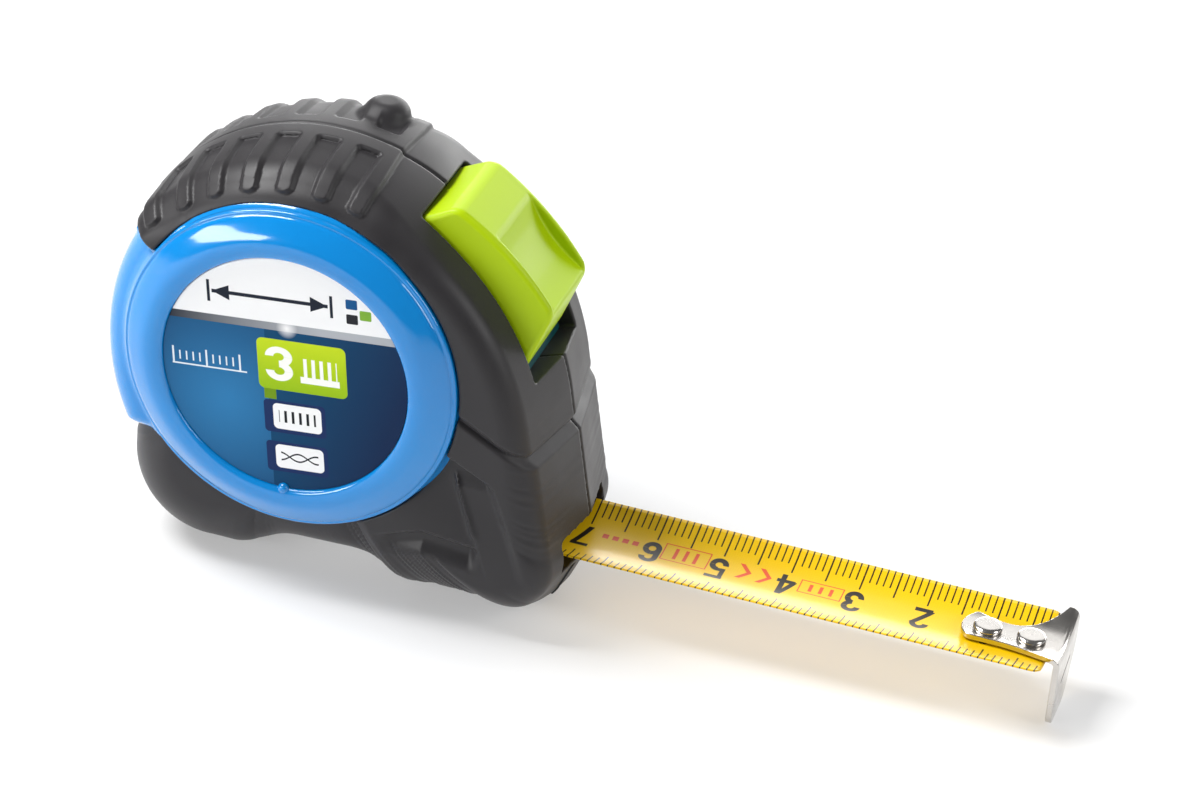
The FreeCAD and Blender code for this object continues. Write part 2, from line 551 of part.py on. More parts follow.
def hook():
    """Stamped plate: a waisted tongue on the blade and a lip hanging down at the tip."""
    zero, thick = size("zero_x"), size("hook_thick")
    outline = [
        (Vector(zero - 14.6, -2.6, 0),),
        (Vector(zero - 15.4, 0, 0), Vector(zero - 14.6, 3.4, 0)),
        (Vector(zero - 7.2, 2.5, 0), Vector(zero + thick, 7.9, 0)),
        (Vector(zero + thick, -4.4, 0),),
        (Vector(zero - 4.0, -3.5, 0),),
        (Vector(zero - 14.6, -2.6, 0),),
    ]
    edges, here = [], outline[0][0]
    for step in outline[1:]:
        curve = Part.LineSegment(here, step[0]) if len(step) == 1 else Part.Arc(here, *step)
        edges.append(curve.toShape())
        here = step[-1]
    blank = Part.Face(Part.Wire(edges)).extrude(Vector(0, 0, 6))
    blank.translate(Vector(0, 0, tongue_low - 1))
    axis_from = Vector(zero - 20, 0, tongue_low + tongue_bend)
    bent = Part.makeCylinder(tongue_bend, 30, axis_from, Vector(1, 0, 0)).cut(
        Part.makeCylinder(tongue_bend - thick, 30, axis_from, Vector(1, 0, 0)))
    tongue = blank.common(bent)
    for x in rivet_places:
        reach = size("hook_play") + 0.1
        slot = Part.makeBox(reach, 2 * (size("rivet_rad") + 0.1), 4,
                            Vector(x, -size("rivet_rad") - 0.1, tongue_low - 2))
        for end in (x, x + reach):
            slot = slot.fuse(Part.makeCylinder(size("rivet_rad") + 0.1, 4,
                                               Vector(end, 0, tongue_low - 2)))
        tongue = tongue.cut(slot)
    low = size("lip_low")
    lip_points = [(-4.4, 0), (7.9, 0), (7.9, -29.0), (4.0, low), (-4.4, low)]
    corners = [Vector(zero, y, z) for y, z in lip_points]
    lip = Part.Face(Part.makePolygon(corners + corners[:1])).extrude(Vector(thick, 0, 0))
    lip = lip.cut(Part.makeCylinder(tongue_bend - thick, 30, axis_from, Vector(1, 0, 0)))
    lip = lip.cut(Part.makeBox(3, 40, 30, Vector(zero - 1, -20, -22.5)))
    slit = Part.makeBox(3, 4.4, 0.6, Vector(zero - 1, -0.6, -30.0))
    return tongue.fuse(lip).cut(slit).removeSplitter()


end_hook = feature("end_hook", hook())

# ---------------------------------------------------------------- check and write
doc.recompute()
NODES = [case_left, case_right, grip_left, grip_right, label_left, label_right, center_post, case_screws,
         belt_clip, belt_clip_screw, mouth_plate, hook_bumper, lock_button, lock_slide, brake_shoe,
         reel_drum, reel_cover, blade_coil, power_spring, blade, hook_rivets, end_hook]
GROUPS = {"case_screws": len(CASE_SCREWS), "hook_rivets": len(RIVETS_FROM_ZERO)}

broken = [obj.Label for obj in doc.Objects if "Invalid" in obj.State or "Error" in obj.State]
if broken:
    raise RuntimeError("objects that failed: %s" % broken)
os.makedirs("parts", exist_ok=True)
whole = FreeCAD.BoundBox()
for node in NODES:
    shape = node.Shape
    if shape.isNull() or not shape.isValid():
        raise RuntimeError(node.Label + " has no valid shape")
    if len(shape.Solids) != GROUPS.get(node.Label, 1):
        raise RuntimeError("%s has %d solids" % (node.Label, len(shape.Solids)))
    whole.add(shape.optimalBoundingBox(False))
    shape.exportStep("parts/%s.step" % node.Label)
    print("%-16s volume %9.1f mm3" % (node.Label, shape.Volume))
print("box x %.2f %.2f  y %.2f %.2f  z %.2f %.2f"
      % (whole.XMin, whole.XMax, whole.YMin, whole.YMax, whole.ZMin, whole.ZMax))
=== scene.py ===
import json
import math

import bmesh
import bpy
import numpy as np
from mathutils import Matrix, Vector


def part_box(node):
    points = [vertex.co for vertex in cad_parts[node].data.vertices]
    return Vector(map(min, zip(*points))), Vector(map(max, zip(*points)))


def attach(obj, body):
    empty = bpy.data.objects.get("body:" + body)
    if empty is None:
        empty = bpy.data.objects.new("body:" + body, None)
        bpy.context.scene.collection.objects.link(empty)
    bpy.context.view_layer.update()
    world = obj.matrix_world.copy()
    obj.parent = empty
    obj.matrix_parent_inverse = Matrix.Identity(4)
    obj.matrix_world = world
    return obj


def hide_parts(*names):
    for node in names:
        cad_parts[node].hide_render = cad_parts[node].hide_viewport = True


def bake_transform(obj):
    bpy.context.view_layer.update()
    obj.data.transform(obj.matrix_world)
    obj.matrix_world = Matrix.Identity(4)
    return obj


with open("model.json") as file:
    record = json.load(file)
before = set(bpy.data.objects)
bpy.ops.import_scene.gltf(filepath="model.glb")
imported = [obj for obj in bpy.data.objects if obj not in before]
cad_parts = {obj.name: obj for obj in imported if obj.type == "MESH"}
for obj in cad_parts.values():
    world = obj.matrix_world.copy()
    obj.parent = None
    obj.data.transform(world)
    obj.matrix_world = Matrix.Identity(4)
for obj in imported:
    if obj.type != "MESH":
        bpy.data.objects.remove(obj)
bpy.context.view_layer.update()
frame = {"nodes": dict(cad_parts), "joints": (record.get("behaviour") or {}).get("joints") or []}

# Looks of the pocket tape measure.  Shapes are given in millimetres in the reel frame: x and z from
# the reel's axis, y from the plane where the case halves meet.  REEL carries them to the row frame.

MM = 0.001
JOINTS = {joint["name"]: joint for joint in frame["joints"]}
REEL = Vector(JOINTS["reel_spin"]["pos_m"])
NODES = frame["nodes"]


def span(node, axis):
    """Lowest and highest value of a CAD node along one axis, in mm in the reel frame."""
    low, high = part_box(node)
    return (low[axis] - REEL[axis]) / MM, (high[axis] - REEL[axis]) / MM


# Sizes that follow the CAD: label disc, crest of the ring, half thickness and base of the rubber.
LABEL_RAD = span("label_left", 0)[1] + 0.05
LABEL_FACE = -span("label_left", 1)[0]
RING_CREST = -span("case_left", 1)[0]
HALF = -span("grip_left", 1)[0]
BASE_Z = span("grip_left", 2)[0]

# The blade: a strip 16 mm wide that sags in the middle, from its root by the reel to its tip.
BLADE_ROOT, TAPE_TIP = span("blade", 0)
BLADE_THICK = 0.22
BLADE_EDGE_Z = span("blade", 2)[1] - 0.15
BLADE_HALF = 8.0
BLADE_SAG = 1.6
BLADE_BEND = (BLADE_HALF ** 2 + BLADE_SAG ** 2) / (2 * BLADE_SAG)
BLADE_LOW_Z = BLADE_EDGE_Z - BLADE_SAG

# The end hook: its lip's inner face is the scale's zero, and its tongue lies just above the blade.
HOOK_THICK = 0.9
ZERO_X = span("end_hook", 0)[1] - HOOK_THICK
LIP_LOW = span("end_hook", 2)[0]
TONGUE_LIFT = 0.3
TONGUE_LOW = BLADE_LOW_Z + BLADE_THICK / 2 + TONGUE_LIFT
RIVETS_FROM_ZERO = (4.2, 10.5)
# The slit in the hook's lip: its middle, half height, half length, and rise for each mm along Y.
SLIT_Z, SLIT_Y, SLIT_HALF, SLIT_REACH, SLIT_SLANT = -29.6, 1.6, 0.2, 2.4, 0.35


# ---------------------------------------------------------------- implicit shapes
def round_max(a, b, radius):
    """Common part of two shapes, with the edge between them rounded."""
    reach = np.hypot(np.maximum(a + radius, 0), np.maximum(b + radius, 0))
    return np.minimum(np.maximum(a, b), -radius) + reach


def round_min(a, b, radius):
    """Union of two shapes, with a fillet between them."""
    return -round_max(-a, -b, radius)


def soft_step(value, low, high):
    """0 at low and 1 at high, with a smooth start and end; high may be below low."""
    t = np.clip((value - low) / (high - low), 0, 1)
    return t * t * (3 - 2 * t)


def hump(value, width):
    """Smooth bump of height 1 at value 0."""
    return np.exp(-(value / width) ** 2)


def isosurface(field, low, high, step):
    """Vertices, quads and normals of the surface where field(x, y, z) is zero, by surface nets."""
    x, y, z = (np.arange(a - 1.5 * step, b + 2 * step, step) for a, b in zip(low, high))
    value = field(x[:, None, None], y[None, :, None], z[None, None, :])
    value = np.broadcast_to(value, (len(x), len(y), len(z)))
    inside = value < 0
    count = np.zeros([n - 1 for n in value.shape], np.int8)
    corners = [(i, j, k) for i in (0, 1) for j in (0, 1) for k in (0, 1)]

    def shifted(array, corner):
        return array[tuple(slice(c, n - 1 + c) for c, n in zip(corner, value.shape))]

    for corner in corners:
        count += shifted(inside, corner)
    active = (count > 0) & (count < 8)
    number = np.full(active.shape, -1)
    number[active] = np.arange(active.sum())
    values = np.stack([shifted(value, corner)[active] for corner in corners])
    total, hits = np.zeros((3, values.shape[1])), np.zeros(values.shape[1])
    for a in range(8):
        for b in range(a + 1, 8):
            one, two = np.array(corners[a], float), np.array(corners[b], float)
            if np.abs(one - two).sum() != 1:
                continue
            crossing = (values[a] < 0) != (values[b] < 0)
            t = np.where(crossing, values[a] / np.where(crossing, values[a] - values[b], 1), 0)
            total += crossing * (one[:, None] + t * (two - one)[:, None])
            hits += crossing
    cell = np.argwhere(active).T + total / hits
    points = (cell * step + np.array([[x[0]], [y[0]], [z[0]]])).T

    quads = []
    for axis in range(3):
        other = [n for n in range(3) if n != axis]
        ahead = [slice(1, -1)] * 3
        here, there = list(ahead), list(ahead)
        here[axis], there[axis] = slice(0, -1), slice(1, None)
        change = inside[tuple(here)].astype(int) - inside[tuple(there)]
        index = np.argwhere(change != 0)
        flips = change[change != 0]
        ring = []
        for shift in ((-1, -1), (0, -1), (0, 0), (-1, 0)):
            at = index + 1
            at[:, axis] -= 1
            at[:, other[0]] += shift[0]
            at[:, other[1]] += shift[1]
            ring.append(number[at[:, 0], at[:, 1], at[:, 2]])
        ring = np.stack(ring, 1)
        backwards = (flips > 0) == (axis == 1)
        ring[backwards] = ring[backwards][:, ::-1]
        quads.append(ring)

    def slope(at, eps=0.01):
        out = np.empty_like(at)
        for axis in range(3):
            ahead, behind = at.copy(), at.copy()
            ahead[:, axis] += eps
            behind[:, axis] -= eps
            out[:, axis] = (field(*ahead.T) - field(*behind.T)) / (2 * eps)
        return out

    start = points.copy()
    for _ in range(3):
        gradient = slope(points)
        square = np.maximum((gradient ** 2).sum(1), 0.04)
        points = points - (field(*points.T) / square)[:, None] * gradient
        points = start + np.clip(points - start, -0.75 * step, 0.75 * step)
    normals = slope(points, 0.05)
    normals /= np.maximum(np.linalg.norm(normals, axis=1), 1e-9)[:, None]
    return points, np.concatenate(quads), normals


def mesh_object(name, points, faces, material, normals=None):
    """A smooth mesh object from points in mm in the reel frame."""
    mesh = bpy.data.meshes.new(name)
    world = np.asarray(points, float) * MM + np.array(REEL)
    mesh.from_pydata(world.tolist(), [], [list(map(int, face)) for face in faces])
    mesh.update()
    mesh.polygons.foreach_set("use_smooth", [True] * len(mesh.polygons))
    if normals is not None:
        mesh.normals_split_custom_set_from_vertices(normals.tolist())
    mesh.materials.append(material)
    obj = bpy.data.objects.new(name, mesh)
    bpy.context.scene.collection.objects.link(obj)
    return obj


def place(piece, body, slot, *nodes):
    """Makes a piece ride on a body, in place of CAD nodes; its finish slot is not used."""
    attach(piece, body)
    if nodes:
        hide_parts(*nodes)
    return piece


def solid(name, field, low, high, step, material, body, slot, *nodes):
    """A piece whose surface is where field is zero."""
    points, quads, normals = isosurface(field, low, high, step)
    return place(mesh_object(name, points, quads, material, normals), body, slot, *nodes)


def softened(loop, rounds):
    """Closed loop with its corners cut again and again, which rounds them a little."""
    for _ in range(rounds):
        ahead = np.roll(loop, -1, axis=0)
        loop = np.stack([0.75 * loop + 0.25 * ahead, 0.25 * loop + 0.75 * ahead], 1).reshape(-1, 2)
    return loop


def turned(name, profile, centres, axis, steps, material, rounds=2):
    """Pieces turned on a lathe: a loop of (radius, height) swept about axes through the centres.

    The axis is 1 for Y, with heights along -Y for a negative way, or 2 for Z."""
    loop = softened(np.array(profile, float), rounds)
    angle = np.linspace(0, 2 * math.pi, steps, endpoint=False)
    points, faces = [], []
    for centre, way in centres:
        first = len(points)
        for a in angle:
            for radius, height in loop:
                spot = [radius * math.cos(a), radius * math.sin(a)]
                spot.insert(axis, way * height)
                points.append(np.array(centre) + spot)
        for i in range(steps):
            for j in range(len(loop)):
                quad = [first + (i + a) % steps * len(loop) + (j + b) % len(loop)
                        for a, b in ((0, 0), (1, 0), (1, 1), (0, 1))]
                faces.append(quad)
    piece = mesh_object(name, points, faces, material)
    bm = bmesh.new()
    bm.from_mesh(piece.data)
    bmesh.ops.remove_doubles(bm, verts=bm.verts, dist=1e-6)
    bmesh.ops.recalc_face_normals(bm, faces=bm.faces)
    bm.to_mesh(piece.data)
    bm.free()
    piece.data.set_sharp_from_angle(angle=math.radians(50))
    return piece


# ---------------------------------------------------------------- materials
class Shader:
    """Short way to write a material's node tree."""

    def __init__(self, name):
        self.material = bpy.data.materials.new(name)
        self.material.use_nodes = True
        self.tree = self.material.node_tree
        self.bsdf = self.tree.nodes["Principled BSDF"]

    def link(self, value, socket):
        if isinstance(value, bpy.types.NodeSocket):
            self.tree.links.new(value, socket)
        else:
            socket.default_value = value

    def node(self, kind, **settings):
        made = self.tree.nodes.new(kind)
        for key, value in settings.items():
            setattr(made, key, value)
        return made

    def set(self, **values):
        """Values for the shader's own sockets, named with _ for spaces."""
        for key, value in values.items():
            self.link(value, self.bsdf.inputs[key.replace("_", " ")])

    def math(self, operation, a, b=0.0, c=0.0):
        made = self.node("ShaderNodeMath", operation=operation)
        for socket, value in zip(made.inputs, (a, b, c)):
            self.link(value, socket)
        return made.outputs[0]

    def coords(self, obj=None):
        """Coordinates in mm, as x, y and z and the vector: in the reel frame, or from an object."""
        source = self.node("ShaderNodeTexCoord")
        source.object = obj
        mapped = self.node("ShaderNodeMapping")
        self.link(source.outputs["Object"], mapped.inputs["Vector"])
        mapped.inputs["Location"].default_value = (0, 0, 0) if obj else -REEL / MM
        mapped.inputs["Scale"].default_value = (1 / MM,) * 3
        split = self.node("ShaderNodeSeparateXYZ")
        self.link(mapped.outputs[0], split.inputs[0])
        return (*split.outputs, mapped.outputs[0])

    def noise(self, vector, scale, detail=2.0, roughness=0.5):
        made = self.node("ShaderNodeTexNoise")
        self.link(vector, made.inputs["Vector"])
        made.inputs["Scale"].default_value = scale
        made.inputs["Detail"].default_value = detail
        made.inputs["Roughness"].default_value = roughness
        return made.outputs["Fac"]

    def remap(self, value, low, high, to_low, to_high):
        """Straight ramp from to_low at low to to_high at high, flat beyond them."""
        made = self.node("ShaderNodeMapRange", clamp=True)
        for socket, number in zip(made.inputs, (value, low, high, to_low, to_high)):
            self.link(number, socket)
        return made.outputs[0]

    def mix(self, factor, a, b):
        made = self.node("ShaderNodeMix", data_type="RGBA")
        for name, value in (("Factor_Float", factor), ("A_Color", a), ("B_Color", b)):
            socket = next(s for s in made.inputs if s.identifier == name)
            self.link(value, socket)
        return next(s for s in made.outputs if s.identifier == "Result_Color")

    def bump(self, height, strength, distance=0.1):
        made = self.node("ShaderNodeBump")
        made.inputs["Strength"].default_value = strength
        made.inputs["Distance"].default_value = distance * MM
        self.link(height, made.inputs["Height"])
        self.link(made.outputs[0], self.bsdf.inputs["Normal"])

    # flat drawing: distances in mm that are below zero inside a mark
    def ink(self, distance):
        """1 inside a mark and 0 outside, with a soft edge."""
        return self.remap(distance, 0.02, -0.02, 0.0, 1.0)

    def both(self, *values):
        """Largest of the values: the common part of marks, or the union of inks."""
        result = values[0]
        for value in values[1:]:
            result = self.math("MAXIMUM", result, value)
        return result

    def off(self, value, centre):
        return self.math("ABSOLUTE", self.math("SUBTRACT", value, centre))

    def bar(self, x, y, centre_x, centre_y, half_x, half_y, slant=0.0):
        """Box whose x shifts by slant for each mm of y."""
        if slant:
            x = self.math("SUBTRACT", x, self.math("MULTIPLY", self.math("SUBTRACT", y, centre_y), slant))
        return self.both(self.math("SUBTRACT", self.off(x, centre_x), half_x),
                         self.math("SUBTRACT", self.off(y, centre_y), half_y))

    def plate(self, x, y, centre_x, centre_y, half_x, half_y, radius):
        """Box with rounded corners."""
        across = self.math("MAXIMUM", self.math("SUBTRACT", self.off(x, centre_x), half_x - radius), 0.0)
        upward = self.math("MAXIMUM", self.math("SUBTRACT", self.off(y, centre_y), half_y - radius), 0.0)
        return self.math("SUBTRACT", self.length(across, upward), radius)

    def length(self, a, b):
        return self.math("SQRT", self.math("ADD", self.math("MULTIPLY", a, a), self.math("MULTIPLY", b, b)))

    def disc(self, x, y, centre_x, centre_y, radius):
        away = self.length(self.math("SUBTRACT", x, centre_x), self.math("SUBTRACT", y, centre_y))
        return self.math("SUBTRACT", away, radius)

    def outline(self, distance, half):
        return self.math("SUBTRACT", self.math("ABSOLUTE", distance), half)

    def digit(self, x, y, value):
        """Ink of one numeral in a box 2.2 wide and 3.4 high; value is a socket from 0 to 9."""
        shown = [self.math("COMPARE", value, float(n), 0.4) for n in range(10)]
        result = None
        for members, kind, *sizes in STROKES:
            if kind == "bar":
                distance = self.bar(x, y, *sizes)
            else:
                height, side, level = sizes
                distance = self.outline(self.disc(x, y, BOW_X, height, BOW_RAD), STROKE)
                if side:
                    kept = self.math("MULTIPLY", self.math("SUBTRACT", x, BOW_X), -side)
                    distance = self.both(distance, kept)
                kept = self.math("MULTIPLY", self.math("SUBTRACT", y, height), -level)
                distance = self.both(distance, kept)
            member = shown[int(members[0])]
            for other in members[1:]:
                member = self.math("MAXIMUM", member, shown[int(other)])
            inked = self.math("MULTIPLY", self.ink(distance), member)
            result = inked if result is None else self.math("MAXIMUM", result, inked)
        return result


# Strokes of the numerals: the digits that have it, then a bow (height of its centre, side and level
# that it is kept on) or a bar (centre x and y, half sizes, slant).
BOW_X, BOW_RAD, STROKE = 1.1, 0.7, 0.31
STROKES = [
    ("023689", "bow", 2.44, 0, 1), ("389", "bow", 2.44, 1, -1), ("89", "bow", 2.44, -1, -1),
    ("035689", "bow", 0.98, 0, -1), ("3568", "bow", 0.98, 1, 1), ("68", "bow", 0.98, -1, 1),
    ("06", "bar", 0.4, 1.71, 0.31, 0.76), ("09", "bar", 1.8, 1.71, 0.31, 0.76),
    ("5", "bar", 0.5, 2.4, 0.25, 0.95), ("57", "bar", 1.15, 3.16, 0.95, 0.27),
    ("5", "bar", 0.8, 1.72, 0.5, 0.25), ("2", "bar", 1.15, 0.27, 0.95, 0.27),
    ("2", "bar", 1.05, 1.38, 0.34, 1.12, 0.72), ("7", "bar", 1.3, 1.5, 0.3, 1.5, 0.36),
    ("4", "bar", 0.85, 2.15, 0.3, 1.25, 0.48), ("4", "bar", 1.15, 1.0, 0.98, 0.25),
    ("14", "bar", 1.5, 1.7, 0.28, 1.7), ("1", "bar", 1.05, 3.0, 0.26, 0.4, 1.3),
]


def rgb(red, green, blue):
    """Display colour from 0 to 255 as the linear colour that a shader takes."""
    def linear(value):
        share = value / 255
        return share / 12.92 if share <= 0.04045 else ((share + 0.055) / 1.055) ** 2.4
    return (linear(red), linear(green), linear(blue), 1.0)


def rubber_material():
    """Dark grey moulded rubber: fine grain, soft sheen, slightly polished patches."""
    s = Shader("rubber")
    vector = s.coords()[3]
    cloud = s.noise(vector, 0.12, 4.0)
    grain = s.noise(vector, 6.0, 3.0, 0.6)
    s.set(Base_Color=s.mix(cloud, rgb(34, 32, 34), rgb(44, 42, 45)))
    s.set(Roughness=s.remap(cloud, 0.3, 0.7, 0.42, 0.54))
    s.set(Specular_IOR_Level=0.42, Sheen_Weight=0.1, Sheen_Roughness=0.4)
    s.bump(grain, 0.22, 0.05)
    return s.material


def glossy(name, light, dark, roughness, coat, specular):
    """Polished plastic with a little depth in its colour and a faint moulding ripple."""
    s = Shader(name)
    vector = s.coords()[3]
    cloud = s.noise(vector, 0.06, 2.0)
    ripple = s.noise(vector, 0.35, 1.0)
    s.set(Base_Color=s.mix(cloud, light, dark))
    s.set(Roughness=s.remap(s.noise(vector, 2.0, 3.0), 0.3, 0.7, roughness, roughness + 0.05))
    s.set(Specular_IOR_Level=specular, Coat_Weight=coat, Coat_Roughness=0.06)
    s.bump(ripple, 0.05, 0.05)
    return s.material


def metal(name, colour, roughness, brushed=0.0, slit=False):
    """Plated steel: cloudy polish, and fine lines along X where it is brushed.

    With slit, the inside of the hook's slit is painted dark brown as painted shade."""
    s = Shader(name)
    _, y, z, vector = s.coords()
    stretch = s.node("ShaderNodeMapping")
    s.link(vector, stretch.inputs["Vector"])
    stretch.inputs["Scale"].default_value = (0.1, 1.0, 1.0) if brushed else (1.0, 1.0, 1.0)
    lines = s.noise(stretch.outputs[0], 9.0, 4.0, 0.7)
    cloud = s.noise(vector, 0.4, 4.0)
    plating_and_slit_shade = s.mix(cloud, colour, tuple(0.82 * c for c in colour[:3]) + (1.0,))
    if slit:
        # painted shade: the inside of the hook's slit is painted dark brown
        inside = s.ink(s.bar(z, y, SLIT_Z, SLIT_Y, SLIT_HALF + 0.05, SLIT_REACH, SLIT_SLANT))
        plating_and_slit_shade = s.mix(inside, plating_and_slit_shade, rgb(92, 68, 48))
    s.set(Metallic=1.0, Base_Color=plating_and_slit_shade)
    s.set(Roughness=s.remap(cloud, 0.3, 0.7, roughness, roughness + 0.12))
    s.bump(lines, 0.03 + brushed, 0.02)
    return s.material


def plain_plastic(name, colour, roughness):
    """Moulded inner part with a fine spark-eroded grain."""
    s = Shader(name)
    vector = s.coords()[3]
    s.set(Base_Color=s.mix(s.noise(vector, 0.3, 3.0), colour, tuple(0.75 * c for c in colour[:3]) + (1.0,)))
    s.set(Roughness=s.remap(s.noise(vector, 3.0), 0.3, 0.7, roughness, roughness + 0.1))
    s.bump(s.noise(vector, 8.0), 0.2, 0.03)
    return s.material


LABEL_TURN = math.radians(5.9)
WHITE, INK = rgb(246, 247, 248), rgb(30, 32, 38)


def label_material(name, way):
    """Printed disc: white head, grey band, blue field, and three tabs with plain measuring marks."""
    s = Shader(name)
    x, _, z, vector = s.coords()
    x = s.math("MULTIPLY", x, -way)
    cos, sin = math.cos(LABEL_TURN), math.sin(LABEL_TURN)
    u = s.math("ADD", s.math("MULTIPLY", x, cos), s.math("MULTIPLY", z, sin))
    v = s.math("SUBTRACT", s.math("MULTIPLY", z, cos), s.math("MULTIPLY", x, sin))

    def paint(under, distance, colour):
        return s.mix(s.ink(distance), under, colour)

    # blue field, lighter towards the lower left, with a darker column behind the tabs
    away = s.length(s.math("ADD", u, 9.0), s.math("ADD", v, 5.0))
    field = s.mix(s.remap(away, 1.0, 21.0, 0.0, 1.0), rgb(44, 120, 174), rgb(0, 50, 92))
    deep = s.mix(s.remap(s.math("ADD", u, s.math("MULTIPLY", v, -0.4)), 0.0, 18.0, 0.0, 1.0),
                 rgb(0, 68, 108), rgb(6, 38, 76))
    column = s.both(s.math("SUBTRACT", -2.6, u), s.math("SUBTRACT", v, 7.0))
    colour = paint(field, column, deep)
    # grey metallic band and white head
    band = s.mix(s.remap(u, -17.0, 6.0, 0.0, 1.0), rgb(40, 46, 58), rgb(176, 180, 186))
    colour = paint(colour, s.bar(u, v, 0.0, 7.6, 20.0, 0.6), band)
    colour = paint(colour, s.math("SUBTRACT", 8.2, v), WHITE)
    # head: an arrowed dimension line between two end marks, and a small checker of squares
    middle, level, reach, head = -1.5, 11.9, 8.6, 1.3
    arrow = s.bar(u, v, middle, level, reach, 0.28)
    for sign in (-1, 1):
        tip = middle + sign * reach
        wedge = s.math("SUBTRACT", s.off(v, level), s.math("MULTIPLY", s.off(u, tip), 0.45))
        wedge = s.both(wedge, s.math("SUBTRACT", s.off(u, tip - sign * head), head))
        arrow = s.math("MINIMUM", arrow, wedge)
        arrow = s.math("MINIMUM", arrow, s.bar(u, v, tip + sign * 0.5, level, 0.22, 1.7))
    colour = paint(colour, arrow, rgb(26, 34, 48))
    for du, dv, shade in ((10.6, 12.7, rgb(20, 84, 140)), (12.6, 11.2, rgb(128, 176, 60)),
                          (10.6, 10.4, rgb(38, 40, 46))):
        colour = paint(colour, s.plate(u, v, du, dv, 0.85, 0.75, 0.2), shade)
    # left: a short scale of ticks
    ticks = s.math("SUBTRACT", s.math("PINGPONG", s.math("ADD", u, 16.6), 0.5), 0.11)
    small = s.both(ticks, s.bar(u, v, -11.2, 1.0, 5.1, 0.7))
    tall = s.math("SUBTRACT", s.math("PINGPONG", s.math("ADD", u, 16.6), 2.5), 0.14)
    tall = s.both(tall, s.bar(u, v, -11.2, 1.0, 5.6, 1.3))
    marks = s.math("MINIMUM", s.math("MINIMUM", small, tall), s.bar(u, v, -11.2, -0.35, 5.6, 0.12))
    colour = paint(colour, marks, rgb(226, 236, 244))
    # green tab with a numeral and a stepped rule
    green = s.mix(s.remap(v, -2.3, 5.6, 0.0, 1.0), rgb(150, 190, 20), rgb(196, 220, 30))
    colour = paint(colour, s.bar(u, v, -2.3, -3.0, 0.9, 1.0), rgb(112, 150, 16))
    colour = paint(colour, s.plate(u, v, 2.7, 1.6, 6.6, 4.0, 0.9), green)
    numeral = s.digit(s.math("DIVIDE", s.math("ADD", u, 2.9), 2.0),
                      s.math("DIVIDE", s.math("ADD", v, 0.9), 1.55), 3.0)
    colour = s.mix(numeral, colour, rgb(250, 252, 246))
    steps = s.math("SUBTRACT", s.math("PINGPONG", s.math("ADD", u, -3.2), 0.6), 0.26)
    rule = s.both(steps, s.bar(u, v, 5.3, 1.6, 2.6, 1.5))
    rule = s.math("MINIMUM", rule, s.bar(u, v, 5.3, -0.3, 2.9, 0.5))
    colour = paint(colour, rule, rgb(250, 252, 246))
    # two navy tabs with white plates
    for low, top, icon in ((-9.3, -4.15, "bars"), (-15.6, -10.75, "wave")):
        middle, half = (low + top) / 2, (top - low) / 2
        colour = paint(colour, s.plate(u, v, 1.2, middle, 4.6, half, 0.6), rgb(20, 44, 92))
        colour = paint(colour, s.plate(u, v, 1.55, middle + 0.08, 3.6, half - 0.55, 0.7), WHITE)
        if icon == "bars":
            stripe = s.math("SUBTRACT", s.math("PINGPONG", s.math("ADD", u, 1.3), 0.55), 0.2)
            mark = s.both(stripe, s.bar(u, v, 1.55, middle + 0.1, 2.75, 0.95))
        else:
            wave = s.math("MULTIPLY", s.math("SINE", s.math("MULTIPLY", u, 1.15)), 0.6)
            mark = None
            for sign in (-1, 1):
                line = s.outline(s.math("SUBTRACT", v, s.math("ADD", s.math("MULTIPLY", wave, sign),
                                                              middle + 0.1)), 0.13)
                line = s.both(line, s.math("SUBTRACT", s.off(u, 1.55), 2.8))
                mark = line if mark is None else s.math("MINIMUM", mark, line)
        colour = paint(colour, mark, INK)
    # spark of light on the band
    star = s.length(s.math("SUBTRACT", u, 0.8), s.math("SUBTRACT", v, 7.5))
    colour = s.mix(s.remap(star, 0.1, 1.6, 0.85, 0.0), colour, rgb(255, 255, 255))
    s.set(Base_Color=colour)
    s.set(Roughness=s.remap(s.noise(vector, 1.5, 3.0), 0.3, 0.7, 0.3, 0.38))
    s.set(Specular_IOR_Level=0.14)
    return s.material


